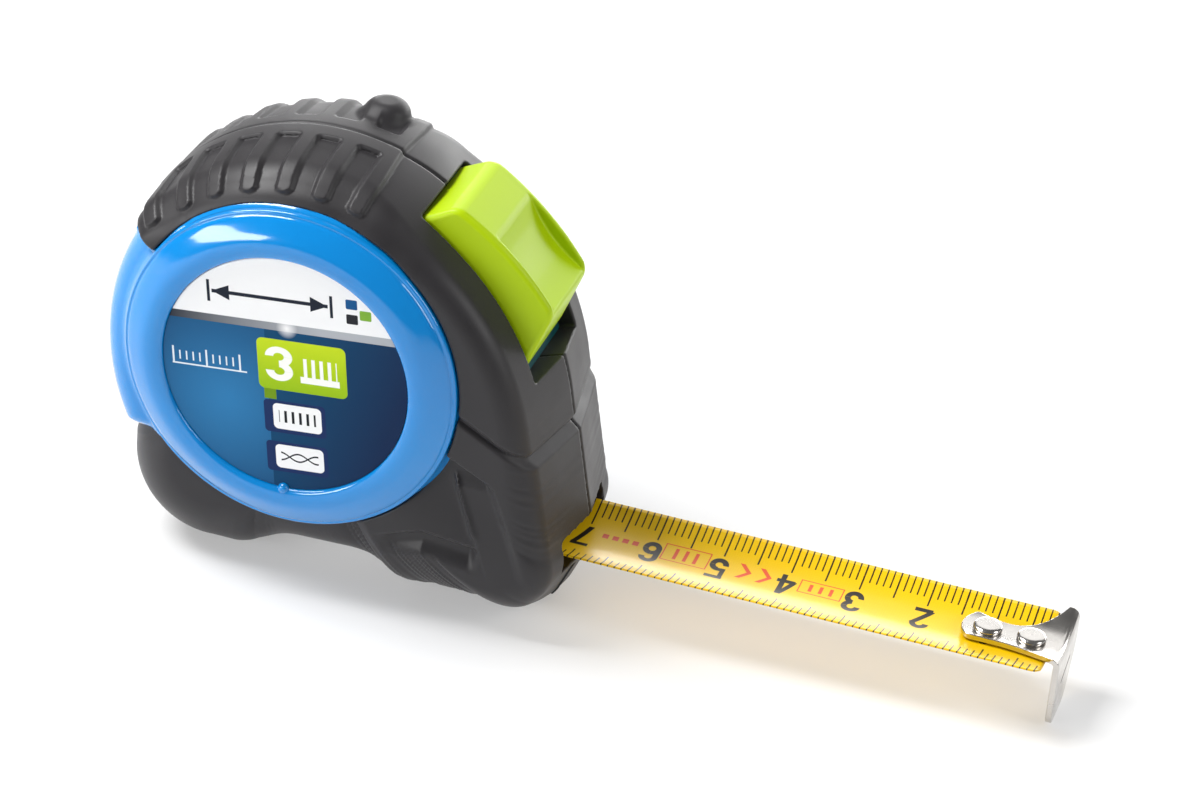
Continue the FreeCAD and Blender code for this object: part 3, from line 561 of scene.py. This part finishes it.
def blade_material(anchor):
    """Yellow lacquer with ticks, numerals and red marks, counted from the scale's zero."""
    s = Shader("blade_print")
    along, across, _, vector = s.coords(obj=anchor)
    from_zero = s.math("MULTIPLY", along, -1.0)

    def near_multiple(pitch, half_width):
        """1 within half_width of a multiple of pitch along the blade."""
        offset = s.math("PINGPONG", from_zero, pitch / 2)
        return s.remap(offset, half_width + 0.02, half_width - 0.02, 0.0, 1.0)

    def beyond(value, limit):
        return s.remap(value, limit - 0.03, limit + 0.03, 0.0, 1.0)

    near_side = s.math("MULTIPLY", across, -1.0)
    black = s.both(
        s.math("MULTIPLY", near_multiple(1.0, 0.105), beyond(across, 4.9)),
        s.math("MULTIPLY", near_multiple(5.0, 0.12), beyond(across, 3.2)),
        s.math("MULTIPLY", near_multiple(1.0, 0.10), beyond(near_side, 5.3)),
        s.math("MULTIPLY", near_multiple(5.0, 0.11), beyond(near_side, 4.2)))

    # numerals: one at each centimetre, with its top towards the near edge, closer set from 100 on
    shifted = s.math("ADD", from_zero, 1.4)
    number = s.math("FLOOR", s.math("DIVIDE", shifted, 10.0))
    within = s.math("SUBTRACT", shifted, s.math("MULTIPLY", number, 10.0))
    long_number = s.math("GREATER_THAN", number, 99.5)
    pitch = s.math("SUBTRACT", SLOT_WIDTH, s.math("MULTIPLY", long_number, SLOT_WIDTH - LONG_SLOT_WIDTH))
    slot = s.math("FLOOR", s.math("DIVIDE", within, pitch))
    places = s.math("ADD", s.math("GREATER_THAN", number, 9.5), long_number)
    power = s.math("POWER", 10.0, s.math("SUBTRACT", places, slot))
    head = s.math("FLOOR", s.math("ADD", s.math("DIVIDE", number, power), 0.001))
    value = s.math("SUBTRACT", head, s.math("MULTIPLY", s.math("FLOOR", s.math("DIVIDE", head, 10.0)), 10.0))
    glyph_x = s.math("DIVIDE", s.math("SUBTRACT", within, s.math("MULTIPLY", slot, pitch)),
                     s.math("MULTIPLY", pitch, GLYPH_SHARE))
    glyph_y = s.math("DIVIDE", s.math("SUBTRACT", 2.6, across), 1.5)
    numeral = s.digit(glyph_x, glyph_y, value)
    numeral = s.math("MULTIPLY", numeral, s.math("LESS_THAN", slot, s.math("ADD", places, 0.5)))
    numeral = s.math("MULTIPLY", numeral, s.math("GREATER_THAN", number, 0.5))
    black = s.math("MAXIMUM", black, numeral)

    # red marks between the first numerals: framed bars, arrow heads and blocks
    red = None
    for centre, level, half_x, half_y in ((35.0, 0.9, 3.1, 1.45), (55.1, 1.1, 3.35, 1.9)):
        frame_mark = s.outline(s.bar(from_zero, across, centre, level, half_x, half_y), 0.09)
        bars = s.math("SUBTRACT", s.math("PINGPONG", s.math("SUBTRACT", from_zero, centre), 0.75), 0.26)
        bars = s.both(bars, s.bar(from_zero, across, centre, level, half_x - 0.75, half_y - 0.6))
        mark = s.math("MINIMUM", frame_mark, bars)
        red = mark if red is None else s.math("MINIMUM", red, mark)
    lift = s.off(across, 0.9)
    for centre in (42.6, 45.6):
        bend = s.math("SUBTRACT", s.off(s.math("SUBTRACT", from_zero, s.math("MULTIPLY", lift, 0.8)), centre),
                      0.38)
        red = s.math("MINIMUM", red, s.both(bend, s.math("SUBTRACT", lift, 1.75)))
    blocks = s.both(s.math("SUBTRACT", s.math("PINGPONG", s.math("SUBTRACT", from_zero, 62.7), 0.75), 0.45),
                    s.bar(from_zero, across, 64.95, 1.3, 2.7, 0.5))
    red = s.math("MINIMUM", red, blocks)

    weave = s.noise(vector, 3.0, 1.0)
    mesh = s.math("MULTIPLY", s.math("SINE", s.math("MULTIPLY", s.math("ADD", along, across), 9.0)),
                  s.math("SINE", s.math("MULTIPLY", s.math("SUBTRACT", along, across), 9.0)))
    yellow = s.mix(weave, rgb(250, 206, 10), rgb(246, 198, 2))
    yellow = s.mix(s.remap(mesh, 0.1, 0.5, 0.0, 0.35), yellow, rgb(240, 186, 0))
    yellow = s.mix(s.ink(red), yellow, rgb(232, 84, 34))
    s.set(Base_Color=s.mix(black, yellow, rgb(34, 30, 22)))
    s.set(Roughness=s.remap(weave, 0.3, 0.7, 0.28, 0.36))
    s.set(Specular_IOR_Level=0.35, Coat_Weight=0.1, Coat_Roughness=0.15)
    s.bump(weave, 0.15, 0.03)
    return s.material


# Room along the blade for one figure, in mm, in numbers of one or two figures and in those of three,
# and the scale of a figure's width for each mm of that room.
SLOT_WIDTH, LONG_SLOT_WIDTH, GLYPH_SHARE = 3.2, 2.55, 0.425
NICKEL_COLOUR = (0.67, 0.645, 0.615, 1.0)
RUBBER = rubber_material()
BLUE = glossy("blue_shell", rgb(0, 141, 218), rgb(0, 127, 206), 0.12, 0.9, 0.3)
GREEN = glossy("green_button", rgb(182, 212, 0), rgb(172, 204, 0), 0.4, 0.05, 0.25)
TEAL = plain_plastic("teal_slide", rgb(16, 84, 92), 0.35)
NICKEL = metal("nickel", NICKEL_COLOUR, 0.16)
HOOK_NICKEL = metal("hook_nickel", NICKEL_COLOUR, 0.16, slit=True)
STEEL = metal("steel", (0.62, 0.62, 0.63, 1.0), 0.28, 0.3)
DARK_STEEL = metal("dark_steel", (0.34, 0.35, 0.38, 1.0), 0.3, 0.2)
BLACK = plain_plastic("black_plastic", rgb(40, 40, 42), 0.5)
NYLON = plain_plastic("nylon", rgb(226, 222, 208), 0.4)
LABEL_LEFT = label_material("label_left_print", -1)
LABEL_RIGHT = label_material("label_right_print", 1)


# ---------------------------------------------------------------- case and grips
# Corners (x, z, rounding radius) of the rubber's outside, clockwise from the back of the top grip.
OUTLINE = [
    (-28.0, 10.9, 0.5), (-21.6, 24.6, 29.2), (3.6, 32.6, 29.2), (32.8, 15.7, 42),
    (41.0, -26.3, 7), (36.8, -36.0, 6), (17.6, -36.0, 7), (10.6, -32.2, 9),
    (-1.4, -32.6, 9), (-8.0, -36.0, 7), (-26.4, -36.0, 13), (-26.4, -17.0, 6),
    (-18.0, -14.6, 0.5), (-19.5, 11.8, 0.5),
]


def outline_points(corners):
    """Dense points along an outline with rounded corners."""
    spots = [Vector((x, z)) for x, z, _ in corners]
    points = []
    for index, (_, _, radius) in enumerate(corners):
        point = spots[index]
        back = (spots[index - 1] - point).normalized()
        ahead = (spots[(index + 1) % len(spots)] - point).normalized()
        half = back.angle(ahead) / 2
        centre = point + (back + ahead).normalized() * (radius / math.sin(half))
        reach = radius / math.tan(half)
        first = point + back * reach - centre
        last = point + ahead * reach - centre
        turn = math.atan2(first.x * last.y - first.y * last.x, first.dot(last))
        for part in np.linspace(0, 1, 60):
            cos, sin = math.cos(turn * part), math.sin(turn * part)
            points.append((centre.x + first.x * cos - first.y * sin,
                           centre.y + first.x * sin + first.y * cos))
    return np.array(points)


def polar_table(corners):
    """Radius of the outline about the reel's axis at every tenth of a degree."""
    points = outline_points(corners)
    ends = np.roll(points, -1, axis=0)
    along = np.linspace(0, 1, 40, endpoint=False)[:, None, None]
    dense = (points + (ends - points) * along).transpose(1, 0, 2).reshape(-1, 2)
    angle, radius = np.arctan2(dense[:, 1], dense[:, 0]), np.hypot(dense[:, 0], dense[:, 1])
    grid = np.radians(np.arange(-180, 180, 0.1))
    slot_of = np.round((angle - grid[0]) / (grid[1] - grid[0])).astype(int) % len(grid)
    table = np.zeros(len(grid))
    np.maximum.at(table, slot_of, radius)
    filled = table > 0
    table = np.interp(grid, grid[filled], table[filled], period=2 * math.pi)
    kernel = np.exp(-np.linspace(-2, 2, 17) ** 2)
    padded = np.concatenate([table[-8:], table, table[:8]])
    return grid, np.convolve(padded, kernel / kernel.sum(), "valid")


POLAR_ANGLE, POLAR_RADIUS = polar_table(OUTLINE)
POLAR_SLOPE = np.gradient(POLAR_RADIUS, POLAR_ANGLE)
RING_RAD = 24.75
# The top grip: length of one degree where its ribs are, its end at the back, the number of ribs, the
# first one's angle, their step, half width and end down the side, its front end and its border's width.
ARC_MM = math.radians(29)
TIP_DEG = 151.0
RIBS, RIB_FIRST, RIB_STEP, RIB_HALF, RIB_END = 7, 73.65, 11.3, 1.25, 17.6
PANEL_END_DEG, BORDER = 72.1, 3.3
# The button's slot, as angles about the lock's pivot, and the button's own lower end; the slot's half
# width and the distance of its floor from the pivot.
WINDOW_LOW_DEG, WINDOW_TOP_DEG, BUTTON_LOW_DEG = 19.3, 60.4, 22.7
WINDOW_HALF, WINDOW_FLOOR = 8.8, 30
# The tunnel to the mouth: its back end, half width, middle height and half height.
TUNNEL_BACK, MOUTH_HALF, MOUTH_Z, MOUTH_RISE = 6.0, 8.9, -24.75, 2.55
# The hard shell's round back and the hollow that the reel turns in: radius, and depth from the middle.
BACK_RAD, BACK_DEPTH, SEAT_DEPTH = 27.2, 14.9, 16.2
ROOM_RAD, ROOM_DEPTH, DRUM_RAD, DRUM_DEPTH = 25.2, 12.0, 22.4, 15.8
# The small dome on the right half's top, and the pin's head at the foot of the label.
DOME_X, DOME_Y, DOME_RAD, DOME_TOP = 3.6, 8.6, 3.4, 31.4
PIN_X, PIN_Z, PIN_RAD, PIN_ROOT = 0.7, -18.3, 0.85, 15.0


def outline_gap(theta, radius):
    """Rough distance outside the outline."""
    edge = np.interp(theta, POLAR_ANGLE, POLAR_RADIUS, period=2 * math.pi)
    lean = np.interp(theta, POLAR_ANGLE, POLAR_SLOPE, period=2 * math.pi) / edge
    return (radius - edge) / np.sqrt(1 + lean ** 2)


def about_pivot(x, z):
    """Angle above +X in degrees and distance, about the lock's pivot line."""
    pivot_x, _, pivot_z = (Vector(JOINTS["lock_press"]["pos_m"]) - REEL) / MM
    return np.degrees(np.arctan2(z - pivot_z, x - pivot_x)), np.hypot(x - pivot_x, z - pivot_z)


def window_gap(x, depth, z):
    """Slot for the lock's button, in a fan about the lock's pivot line."""
    angle, reach = about_pivot(x, z)
    fan = np.maximum(WINDOW_LOW_DEG - angle, angle - WINDOW_TOP_DEG) * math.radians(1) * reach
    return round_max(np.maximum(fan, WINDOW_FLOOR - reach), depth - WINDOW_HALF, 0.6)


def mouth_gap(x, depth, z):
    """Tunnel from the reel to the mouth, for the blade and the retracted hook's rivets."""
    return round_max(np.maximum(TUNNEL_BACK - x, depth - MOUTH_HALF), np.abs(z - MOUTH_Z) - MOUTH_RISE, 0.5)


def crease_height(x):
    """Height of the crease that divides the chin block from the case above it."""
    return -7.5 + 0.53 * np.maximum(0, 34.8 - x) - 0.18 * np.maximum(0, x - 34.8)


def past_line(x, z, start, end):
    """Distance to the right of a line in x and z, looking from start to end."""
    along = Vector((end[0] - start[0], end[1] - start[1])).normalized()
    return (x - start[0]) * along.y - (z - start[1]) * along.x


def raised_ribs(degrees, reach, depth):
    """1 on the raised border and ribs of the top grip, 0 in its finger grooves and beyond."""
    nearest = RIB_FIRST + RIB_STEP * np.clip(np.round((degrees - RIB_FIRST) / RIB_STEP), 0, RIBS - 1)
    across = np.abs(degrees - nearest) * ARC_MM - RIB_HALF
    shape = round_min(round_max(across, reach - RIB_END, 1.15), reach - BORDER, 0.5)
    shape = np.maximum(shape, (PANEL_END_DEG - 0.12 * depth - degrees) * ARC_MM)
    return soft_step(shape, 0.42, -0.42)


def side_recess(x, z):
    """How deep the moulded hollows on the chin's side are."""
    below = past_line(x, z, (22.6, -7.3), (29.6, -10.7))
    right = -past_line(x, z, (24.8, -11.8), (28.3, -20.5))
    step = z + 21.3 + 0.333 * np.maximum(0, 20.7 - x) + 0.127 * np.maximum(0, x - 20.7)
    hollow = soft_step(below, 0.0, 1.1) * soft_step(below, 15.0, 3.0) * soft_step(right, 6.0, 4.2)
    hollow = hollow * (1 - 0.5 * soft_step(right, -0.35, 0.35) * soft_step(z, -10.5, -13.0))
    foot = soft_step(step, 0.3, -0.8) * soft_step(step, -4.2, -1.5)
    foot = foot * soft_step(x, 13.0, 17.0) * soft_step(x, 29.4, 27.6)
    ridge = hump(right, 0.55) * soft_step(z, -10.5, -13.5) * soft_step(z, -21.6, -19.5)
    return 1.8 * hollow + 1.1 * foot - 0.5 * ridge


def grip_field(way):
    """Rubber of one half: way is -1 for the left half and +1 for the right half."""
    def field(x, y, z):
        depth = y * way
        radius = np.hypot(x, z)
        theta = np.arctan2(z, x)
        degrees = np.degrees(theta)
        # weights of the regions: front faces, underside of the chin, arch and rear lobe
        ahead = -past_line(x, z, (10.5, -21.0), (14.9, -27.5))
        front = soft_step(degrees, 68, 40) * soft_step(degrees, -62, -42)
        under = soft_step(degrees, -36, -48) * soft_step(ahead, -2.5, 1.5) * (z < 0)
        lobe = soft_step(ahead, 1.5, -2.5) * (z < 0)
        upper = soft_step(degrees, 60, 80)
        sloping = soft_step(degrees, 40, 62) * soft_step(degrees, 150, 128)
        # the chin block stands proud below its crease and ahead of its rear edge
        above = (z - crease_height(x)) * 0.88
        block = soft_step(above, 0.1, -0.65) * soft_step(ahead, -1.1, 0.9)
        arch = soft_step(ahead, 0.9, -1.1) * soft_step(z, -8, -14)
        shell = outline_gap(theta, radius)
        reach = depth + np.maximum(-shell, 0)
        # across the case the front and the chin fall away from a ridge in the middle
        inward = np.maximum(depth, 0)
        gap = shell + 0.15 * front * (1 - under) * inward
        gap = gap + (0.03 * under + 0.006 * lobe + 0.0085 * sloping) * inward ** 2
        rounding = 5.0 - 1.8 * front + 0.5 * under + 4.0 * lobe + 2.0 * upper * sloping
        body = round_max(gap, depth - HALF + 0.5 * block + 0.9 * arch, rounding)
        # moulded relief; a positive carve lowers the surface
        carve = -0.5 * block
        crease = hump(above - 0.5, 0.45) * soft_step(degrees, -30, -20) * soft_step(degrees, 20, 5)
        carve = carve + 0.65 * crease
        ribs = raised_ribs(degrees, reach, depth)
        carve = carve - 0.65 * ribs + 0.35 * upper * soft_step(reach, 19, 15)
        carve = carve - (0.14 if way < 0 else 0.0) * upper
        carve = carve + 0.3 * hump(depth, 0.3)
        carve = carve + side_recess(x, z) * soft_step(depth, 11.5, 13.5)
        treads = 0.5 + 0.5 * np.sin((x + 0.8 * depth) * 1.5)
        carve = carve + 0.45 * treads * soft_step(z, -31.0, -33.0) * soft_step(x, 14, 17) * soft_step(
            x, 34.5, 32) * soft_step(depth, 12.0, 10.5)
        body = body + carve
        body = np.maximum(body, BASE_Z - z)
        # rounded end of the top grip at the back
        tip = np.where((z > 0) & (degrees > 90), (degrees - TIP_DEG) * ARC_MM, -30.0)
        body = round_max(body, tip, 2.5)
        if way > 0:
            dome = round_max(np.hypot(x - DOME_X, y - DOME_Y) - DOME_RAD, z - DOME_TOP, 2.2)
            body = round_min(body, np.maximum(dome, 26 - z), 1.4)
        # the side face ends at the ring, and the inside is left to the hard shell
        body = round_max(body, RING_RAD + 0.2 - radius, 0.35)
        body = np.maximum(body, -np.maximum(radius - 26.2, depth - 13.0))
        body = np.maximum(body, -depth)
        body = round_max(body, -window_gap(x, depth, z), 0.3)
        return np.maximum(body, -mouth_gap(x, depth, z))
    return field


# The back between the top grip and the rear lobe is flatter than the disc inside it.
BULGE_X, BULGE_Z, BULGE_RAD = 5.7, -2.2, 34.85


def case_field(way, grip):
    """Hard shell of one half: round back, seat of the ring and the label's recess."""
    def field(x, y, z):
        depth = y * way
        radius = np.hypot(x, z)
        degrees = np.degrees(np.arctan2(z, x))
        sunk = np.where(z > 0, 3.0 * soft_step(degrees, 150, 142), 3.0 * soft_step(degrees, -148, -141))
        bulge = np.maximum(np.hypot(x - BULGE_X, z - BULGE_Z) - BULGE_RAD + sunk, x + 12)
        back = round_max(np.minimum(radius - BACK_RAD, bulge), depth - BACK_DEPTH, 4.5)
        ring = round_max(radius - (RING_RAD - 0.15), depth - SEAT_DEPTH, 0.8)
        body = round_min(back, np.maximum(ring, -depth), 1.6)
        # thin lip round the end of the rubber
        beside = grip(x, y, z)
        body = body - 0.4 * hump(beside - 0.35, 0.28) * (z > 0) * soft_step(degrees, 125, 135)
        recess = np.maximum(radius - LABEL_RAD, LABEL_FACE - 0.4 - depth)
        body = round_max(body, -recess, 0.35)
        proud = np.maximum(depth - LABEL_FACE, 0)
        pin = np.sqrt((x - PIN_X) ** 2 + (z - PIN_Z) ** 2 + proud ** 2) - PIN_RAD
        body = np.minimum(body, np.maximum(pin, PIN_ROOT - depth))
        inside = np.maximum(radius - ROOM_RAD, depth - ROOM_DEPTH)
        inside = np.minimum(inside, np.maximum(radius - DRUM_RAD, depth - DRUM_DEPTH))
        body = np.maximum(body, -inside)
        body = np.maximum(body, -mouth_gap(x, depth, z))
        body = np.maximum(body, -window_gap(x, depth, z))
        return np.maximum(body, -depth)
    return field


# Section of the raised ring: radius, and height below its crest.
RING = [
    (18.2, -4.7), (18.2, -1.7), (18.2, -0.7), (18.45, -0.3), (19.2, -0.05), (20.0, 0.0), (20.9, -0.15),
    (21.8, -0.55), (22.7, -1.08), (23.5, -1.58), (24.0, -1.98), (24.1, -2.2), (24.3, -2.27), (24.5, -2.27),
    (24.72, -2.5), (RING_RAD, -2.9), (RING_RAD, -4.7),
]

for side, way in (("left", -1), ("right", 1)):
    grip = grip_field(way)
    low_y, high_y = sorted((0, way * 17.2))
    solid("rubber_" + side, grip, (-29.5, low_y, -37), (42, high_y, 33.5), 0.3, RUBBER,
          "case", "grip", "grip_" + side)
    low_y, high_y = sorted((0, way * 19))
    solid("shell_" + side, case_field(way, grip), (-30.5, low_y, -29.5), (28, high_y, 28), 0.33, BLUE,
          "case", "shell", "case_" + side)
    ring = turned("bezel_" + side, [(radius, RING_CREST + drop) for radius, drop in RING],
                  [((0, 0, 0), way)], 1, 256, BLUE)
    place(ring, "case", "shell")


# ---------------------------------------------------------------- lock button
# The button's top and its thumb dish are arcs in x and z: centre, radius and the dish's half width.
TOP_X, TOP_Z, TOP_RAD = -1.8, -12.7, 45.0
DISH_X, DISH_Z, DISH_RAD, DISH_HALF = 46.0, 31.75, 22.0, 6.6
# Half width where it leaves the case, and radius of its inner end.
BUTTON_HALF, BUTTON_FLOOR = 8.4, 28.2


def button_field(x, y, z):
    """Wedge with a rounded ridge down each side and a thumb dish between them."""
    radius = np.hypot(x, z)
    top = np.hypot(x - TOP_X, z - TOP_Z) - TOP_RAD
    rear = -0.467 * x + 0.884 * z - 14.05
    nose = 0.936 * x - 0.352 * z - 28.23
    flank = np.abs(y) - BUTTON_HALF + 0.09 * np.maximum(radius - 29.6, -0.5)
    wedge = round_max(round_max(top, rear, 1.2), nose, 1.2)
    wedge = round_max(wedge, flank, 0.9)
    angle, reach = about_pivot(x, z)
    wedge = np.maximum(wedge, (BUTTON_LOW_DEG - angle) * math.radians(1) * reach)
    wedge = np.maximum(wedge, BUTTON_FLOOR - radius)
    dish = round_max(np.hypot(x - DISH_X, z - DISH_Z) - DISH_RAD, np.abs(y) - DISH_HALF, 0.3)
    return round_max(wedge, -dish, 0.35)


solid("thumb_button", button_field, (14, -9, 2), (40, 9, 31), 0.2, GREEN, "lock", "button", "lock_button")


# ---------------------------------------------------------------- blade and hook
def blade_strip():
    """Curved strip from the coil to the tip, with the corners of the tip rounded."""
    rows, columns, corner = 217, 25, 1.5
    points, faces = [], []
    for layer in (0.5, -0.5):
        for along in np.linspace(BLADE_ROOT, TAPE_TIP, rows):
            short = max(corner - (TAPE_TIP - along), 0)
            trim = corner - math.sqrt(corner ** 2 - short ** 2)
            for share in np.linspace(-1, 1, columns):
                angle = share * math.asin((BLADE_HALF - trim) / BLADE_BEND)
                reach = BLADE_BEND - layer * BLADE_THICK
                points.append((along, reach * math.sin(angle),
                               BLADE_LOW_Z + BLADE_BEND - reach * math.cos(angle)))
    count = rows * columns

    def at(layer, row, column):
        return layer * count + row * columns + column

    for row in range(rows - 1):
        for column in range(columns - 1):
            faces.append([at(0, row, column), at(0, row + 1, column), at(0, row + 1, column + 1),
                          at(0, row, column + 1)])
            faces.append([at(1, row, column + 1), at(1, row + 1, column + 1), at(1, row + 1, column),
                          at(1, row, column)])
        for column in (0, columns - 1):
            wall = [at(0, row, column), at(1, row, column), at(1, row + 1, column), at(0, row + 1, column)]
            faces.append(wall if column == 0 else wall[::-1])
    for column in range(columns - 1):
        for row in (0, rows - 1):
            wall = [at(0, row, column + 1), at(1, row, column + 1), at(1, row, column), at(0, row, column)]
            faces.append(wall if row == 0 else wall[::-1])
    return points, faces


zero = bpy.data.objects.new("scale_zero", None)
bpy.context.scene.collection.objects.link(zero)
zero.location = REEL + Vector((ZERO_X, 0, BLADE_LOW_Z)) * MM
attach(zero, "blade")
TAPE = blade_material(zero)

points, faces = blade_strip()
tape = mesh_object("tape", points, faces, TAPE)
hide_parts("blade")
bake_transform(tape)


# The lip's two sides, and its cut lower corner as a line in y and z.
LIP_NEAR, LIP_FAR, LIP_CORNER = -4.4, 7.9, ((3.2, LIP_LOW), (7.9, -29.0))


def hook_field(x, y, z):
    """Bent plate: a waisted tongue that lies on the blade, and a lip hanging at the tip."""
    bend = BLADE_BEND - BLADE_THICK / 2 - TONGUE_LIFT
    under = bend - np.hypot(y, z - (TONGUE_LOW + bend))
    plate = round_max(under - HOOK_THICK, x - ZERO_X - HOOK_THICK, 1.3)
    hollow = round_max(under, x - ZERO_X, 0.4)
    sheet = round_max(plate, -hollow, 0.12)
    back = ZERO_X - x
    far = np.where(back < 7.9, 2.35 + 5.55 * (np.clip(7.9 - back, 0, 7.2) / 7.2) ** 2.2,
                   2.35 + 0.05 * (back - 7.9) ** 2)
    near = 2.7 + 1.7 * (np.clip(10.0 - back, 0, 10.9) / 10.0) ** 2
    end = np.hypot(back - 10.5, y - 0.2) - 3.8
    tongue = round_max(np.maximum(y - far, -near - y), np.where(back > 10.5, end, -4.0), 0.5)
    lip = round_max(np.maximum(y - LIP_FAR, LIP_NEAR - y), LIP_LOW - z, 1.2)
    lip = round_max(lip, past_line(y, z, *LIP_CORNER), 1.0)
    edge = np.where(z > TONGUE_LOW - 1.0, np.maximum(tongue, LIP_NEAR - y), lip)
    slit = np.maximum(np.abs(z - SLIT_Z - SLIT_SLANT * (y - SLIT_Y)) - SLIT_HALF,
                      np.abs(y - SLIT_Y) - SLIT_REACH)
    return np.maximum(round_max(sheet, edge, 0.15), -slit)


solid("hook_plate", hook_field, (ZERO_X - 16, -5, LIP_LOW - 0.5), (ZERO_X + 1.2, 8.3, TONGUE_LOW + 3.0),
      0.15, HOOK_NICKEL, "hook", "hook_plate", "end_hook")

# Section of a rivet, as radius and height above the tongue's underside.
RIVET = [
    (0.0, 1.78), (1.0, 1.77), (1.6, 1.74), (1.95, 1.6), (2.1, 1.35), (2.1, 1.1), (2.05, 0.95),
    (1.1, 0.95), (1.1, -0.5), (1.8, -0.55), (1.8, -0.8), (0.0, -0.85), (0.0, -0.8), (0.0, 1.72),
]
rivets = turned("rivets", RIVET, [((ZERO_X - along, 0, TONGUE_LOW), 1) for along in RIVETS_FROM_ZERO],
                2, 48, NICKEL)
place(rivets, "blade", "hook_plate", "hook_rivets")

# ---------------------------------------------------------------- CAD nodes that keep their shape
KEPT = {
    "label_left": LABEL_LEFT, "label_right": LABEL_RIGHT, "center_post": STEEL, "case_screws": DARK_STEEL,
    "belt_clip": STEEL, "belt_clip_screw": DARK_STEEL, "mouth_plate": NYLON, "hook_bumper": BLACK,
    "lock_slide": TEAL, "brake_shoe": BLACK, "reel_drum": BLACK, "reel_cover": BLACK,
    "blade_coil": TAPE, "power_spring": DARK_STEEL,
}
for node, material in KEPT.items():
    NODES[node].data.materials.clear()
    NODES[node].data.materials.append(material)


# ---------------------------------------------------------------- floor, light, camera
def area_light(name, place_at, target_z, width, height, power):
    """Soft white card in the row frame, turned to a point above the origin; power in watts."""
    data = bpy.data.lights.new(name, "AREA")
    data.shape, data.size, data.size_y = "RECTANGLE", width, height
    data.energy = power
    lamp = bpy.data.objects.new(name, data)
    bpy.context.scene.collection.objects.link(lamp)
    lamp.location = place_at
    towards = Vector((0, 0, target_z)) - Vector(place_at)
    lamp.rotation_euler = towards.to_track_quat("-Z", "Y").to_euler()


def studio():
    """Plain pale floor, even world and five soft cards."""
    bpy.ops.mesh.primitive_plane_add(size=6.0, location=(0, 0, 0))
    floor = bpy.context.object
    floor.name = "floor"
    s = Shader("floor_white")
    vector = s.coords()[3]
    s.set(Base_Color=s.mix(s.noise(vector, 0.001), (0.56, 0.56, 0.56, 1), (0.60, 0.60, 0.60, 1)))
    s.set(Roughness=0.9, Specular_IOR_Level=0.1, Emission_Color=(1, 1, 1, 1), Emission_Strength=0.34)
    floor.data.materials.append(s.material)
    world = bpy.data.worlds.new("studio")
    bpy.context.scene.world = world
    world.use_nodes = True
    world.node_tree.nodes["Background"].inputs["Color"].default_value = (1, 1, 1, 1)
    world.node_tree.nodes["Background"].inputs["Strength"].default_value = 0.14
    area_light("key", (-0.50, -0.05, 0.72), 0.03, 0.30, 0.45, 8.0)
    area_light("left_card", (-0.70, -0.70, 0.30), 0.04, 0.60, 0.20, 4.5)
    area_light("low_back_card", (0.10, 1.10, 0.24), 0.03, 1.6, 0.34, 12.0)
    area_light("high_back_card", (0.00, 1.00, 0.80), 0.03, 1.2, 0.5, 2.6)
    area_light("right", (0.85, -0.10, 0.50), 0.03, 0.3, 0.5, 3.2)


CAMERA_AT = (0.145475, -0.52206, 0.36041)
CAMERA_TURN_DEG = (15.7, 31.3, 5.1)


def camera():
    """Long lens on the label's side; its turn is azimuth towards the blade, elevation and roll."""
    data = bpy.data.cameras.new("camera")
    data.lens, data.sensor_width = 135.0, 36.0
    data.clip_start, data.clip_end = 0.05, 10.0
    cam = bpy.data.objects.new("camera", data)
    bpy.context.scene.collection.objects.link(cam)
    azimuth, elevation, roll = (math.radians(a) for a in CAMERA_TURN_DEG)
    back = Vector((math.sin(azimuth) * math.cos(elevation), -math.cos(azimuth) * math.cos(elevation),
                   math.sin(elevation)))
    turn = back.to_track_quat("Z", "Y").to_matrix() @ Matrix.Rotation(roll, 3, "Z")
    cam.matrix_world = Matrix.Translation(CAMERA_AT) @ turn.to_4x4()
    bpy.context.scene.camera = cam


studio()
camera()
bpy.context.scene.view_settings.view_transform = "Standard"
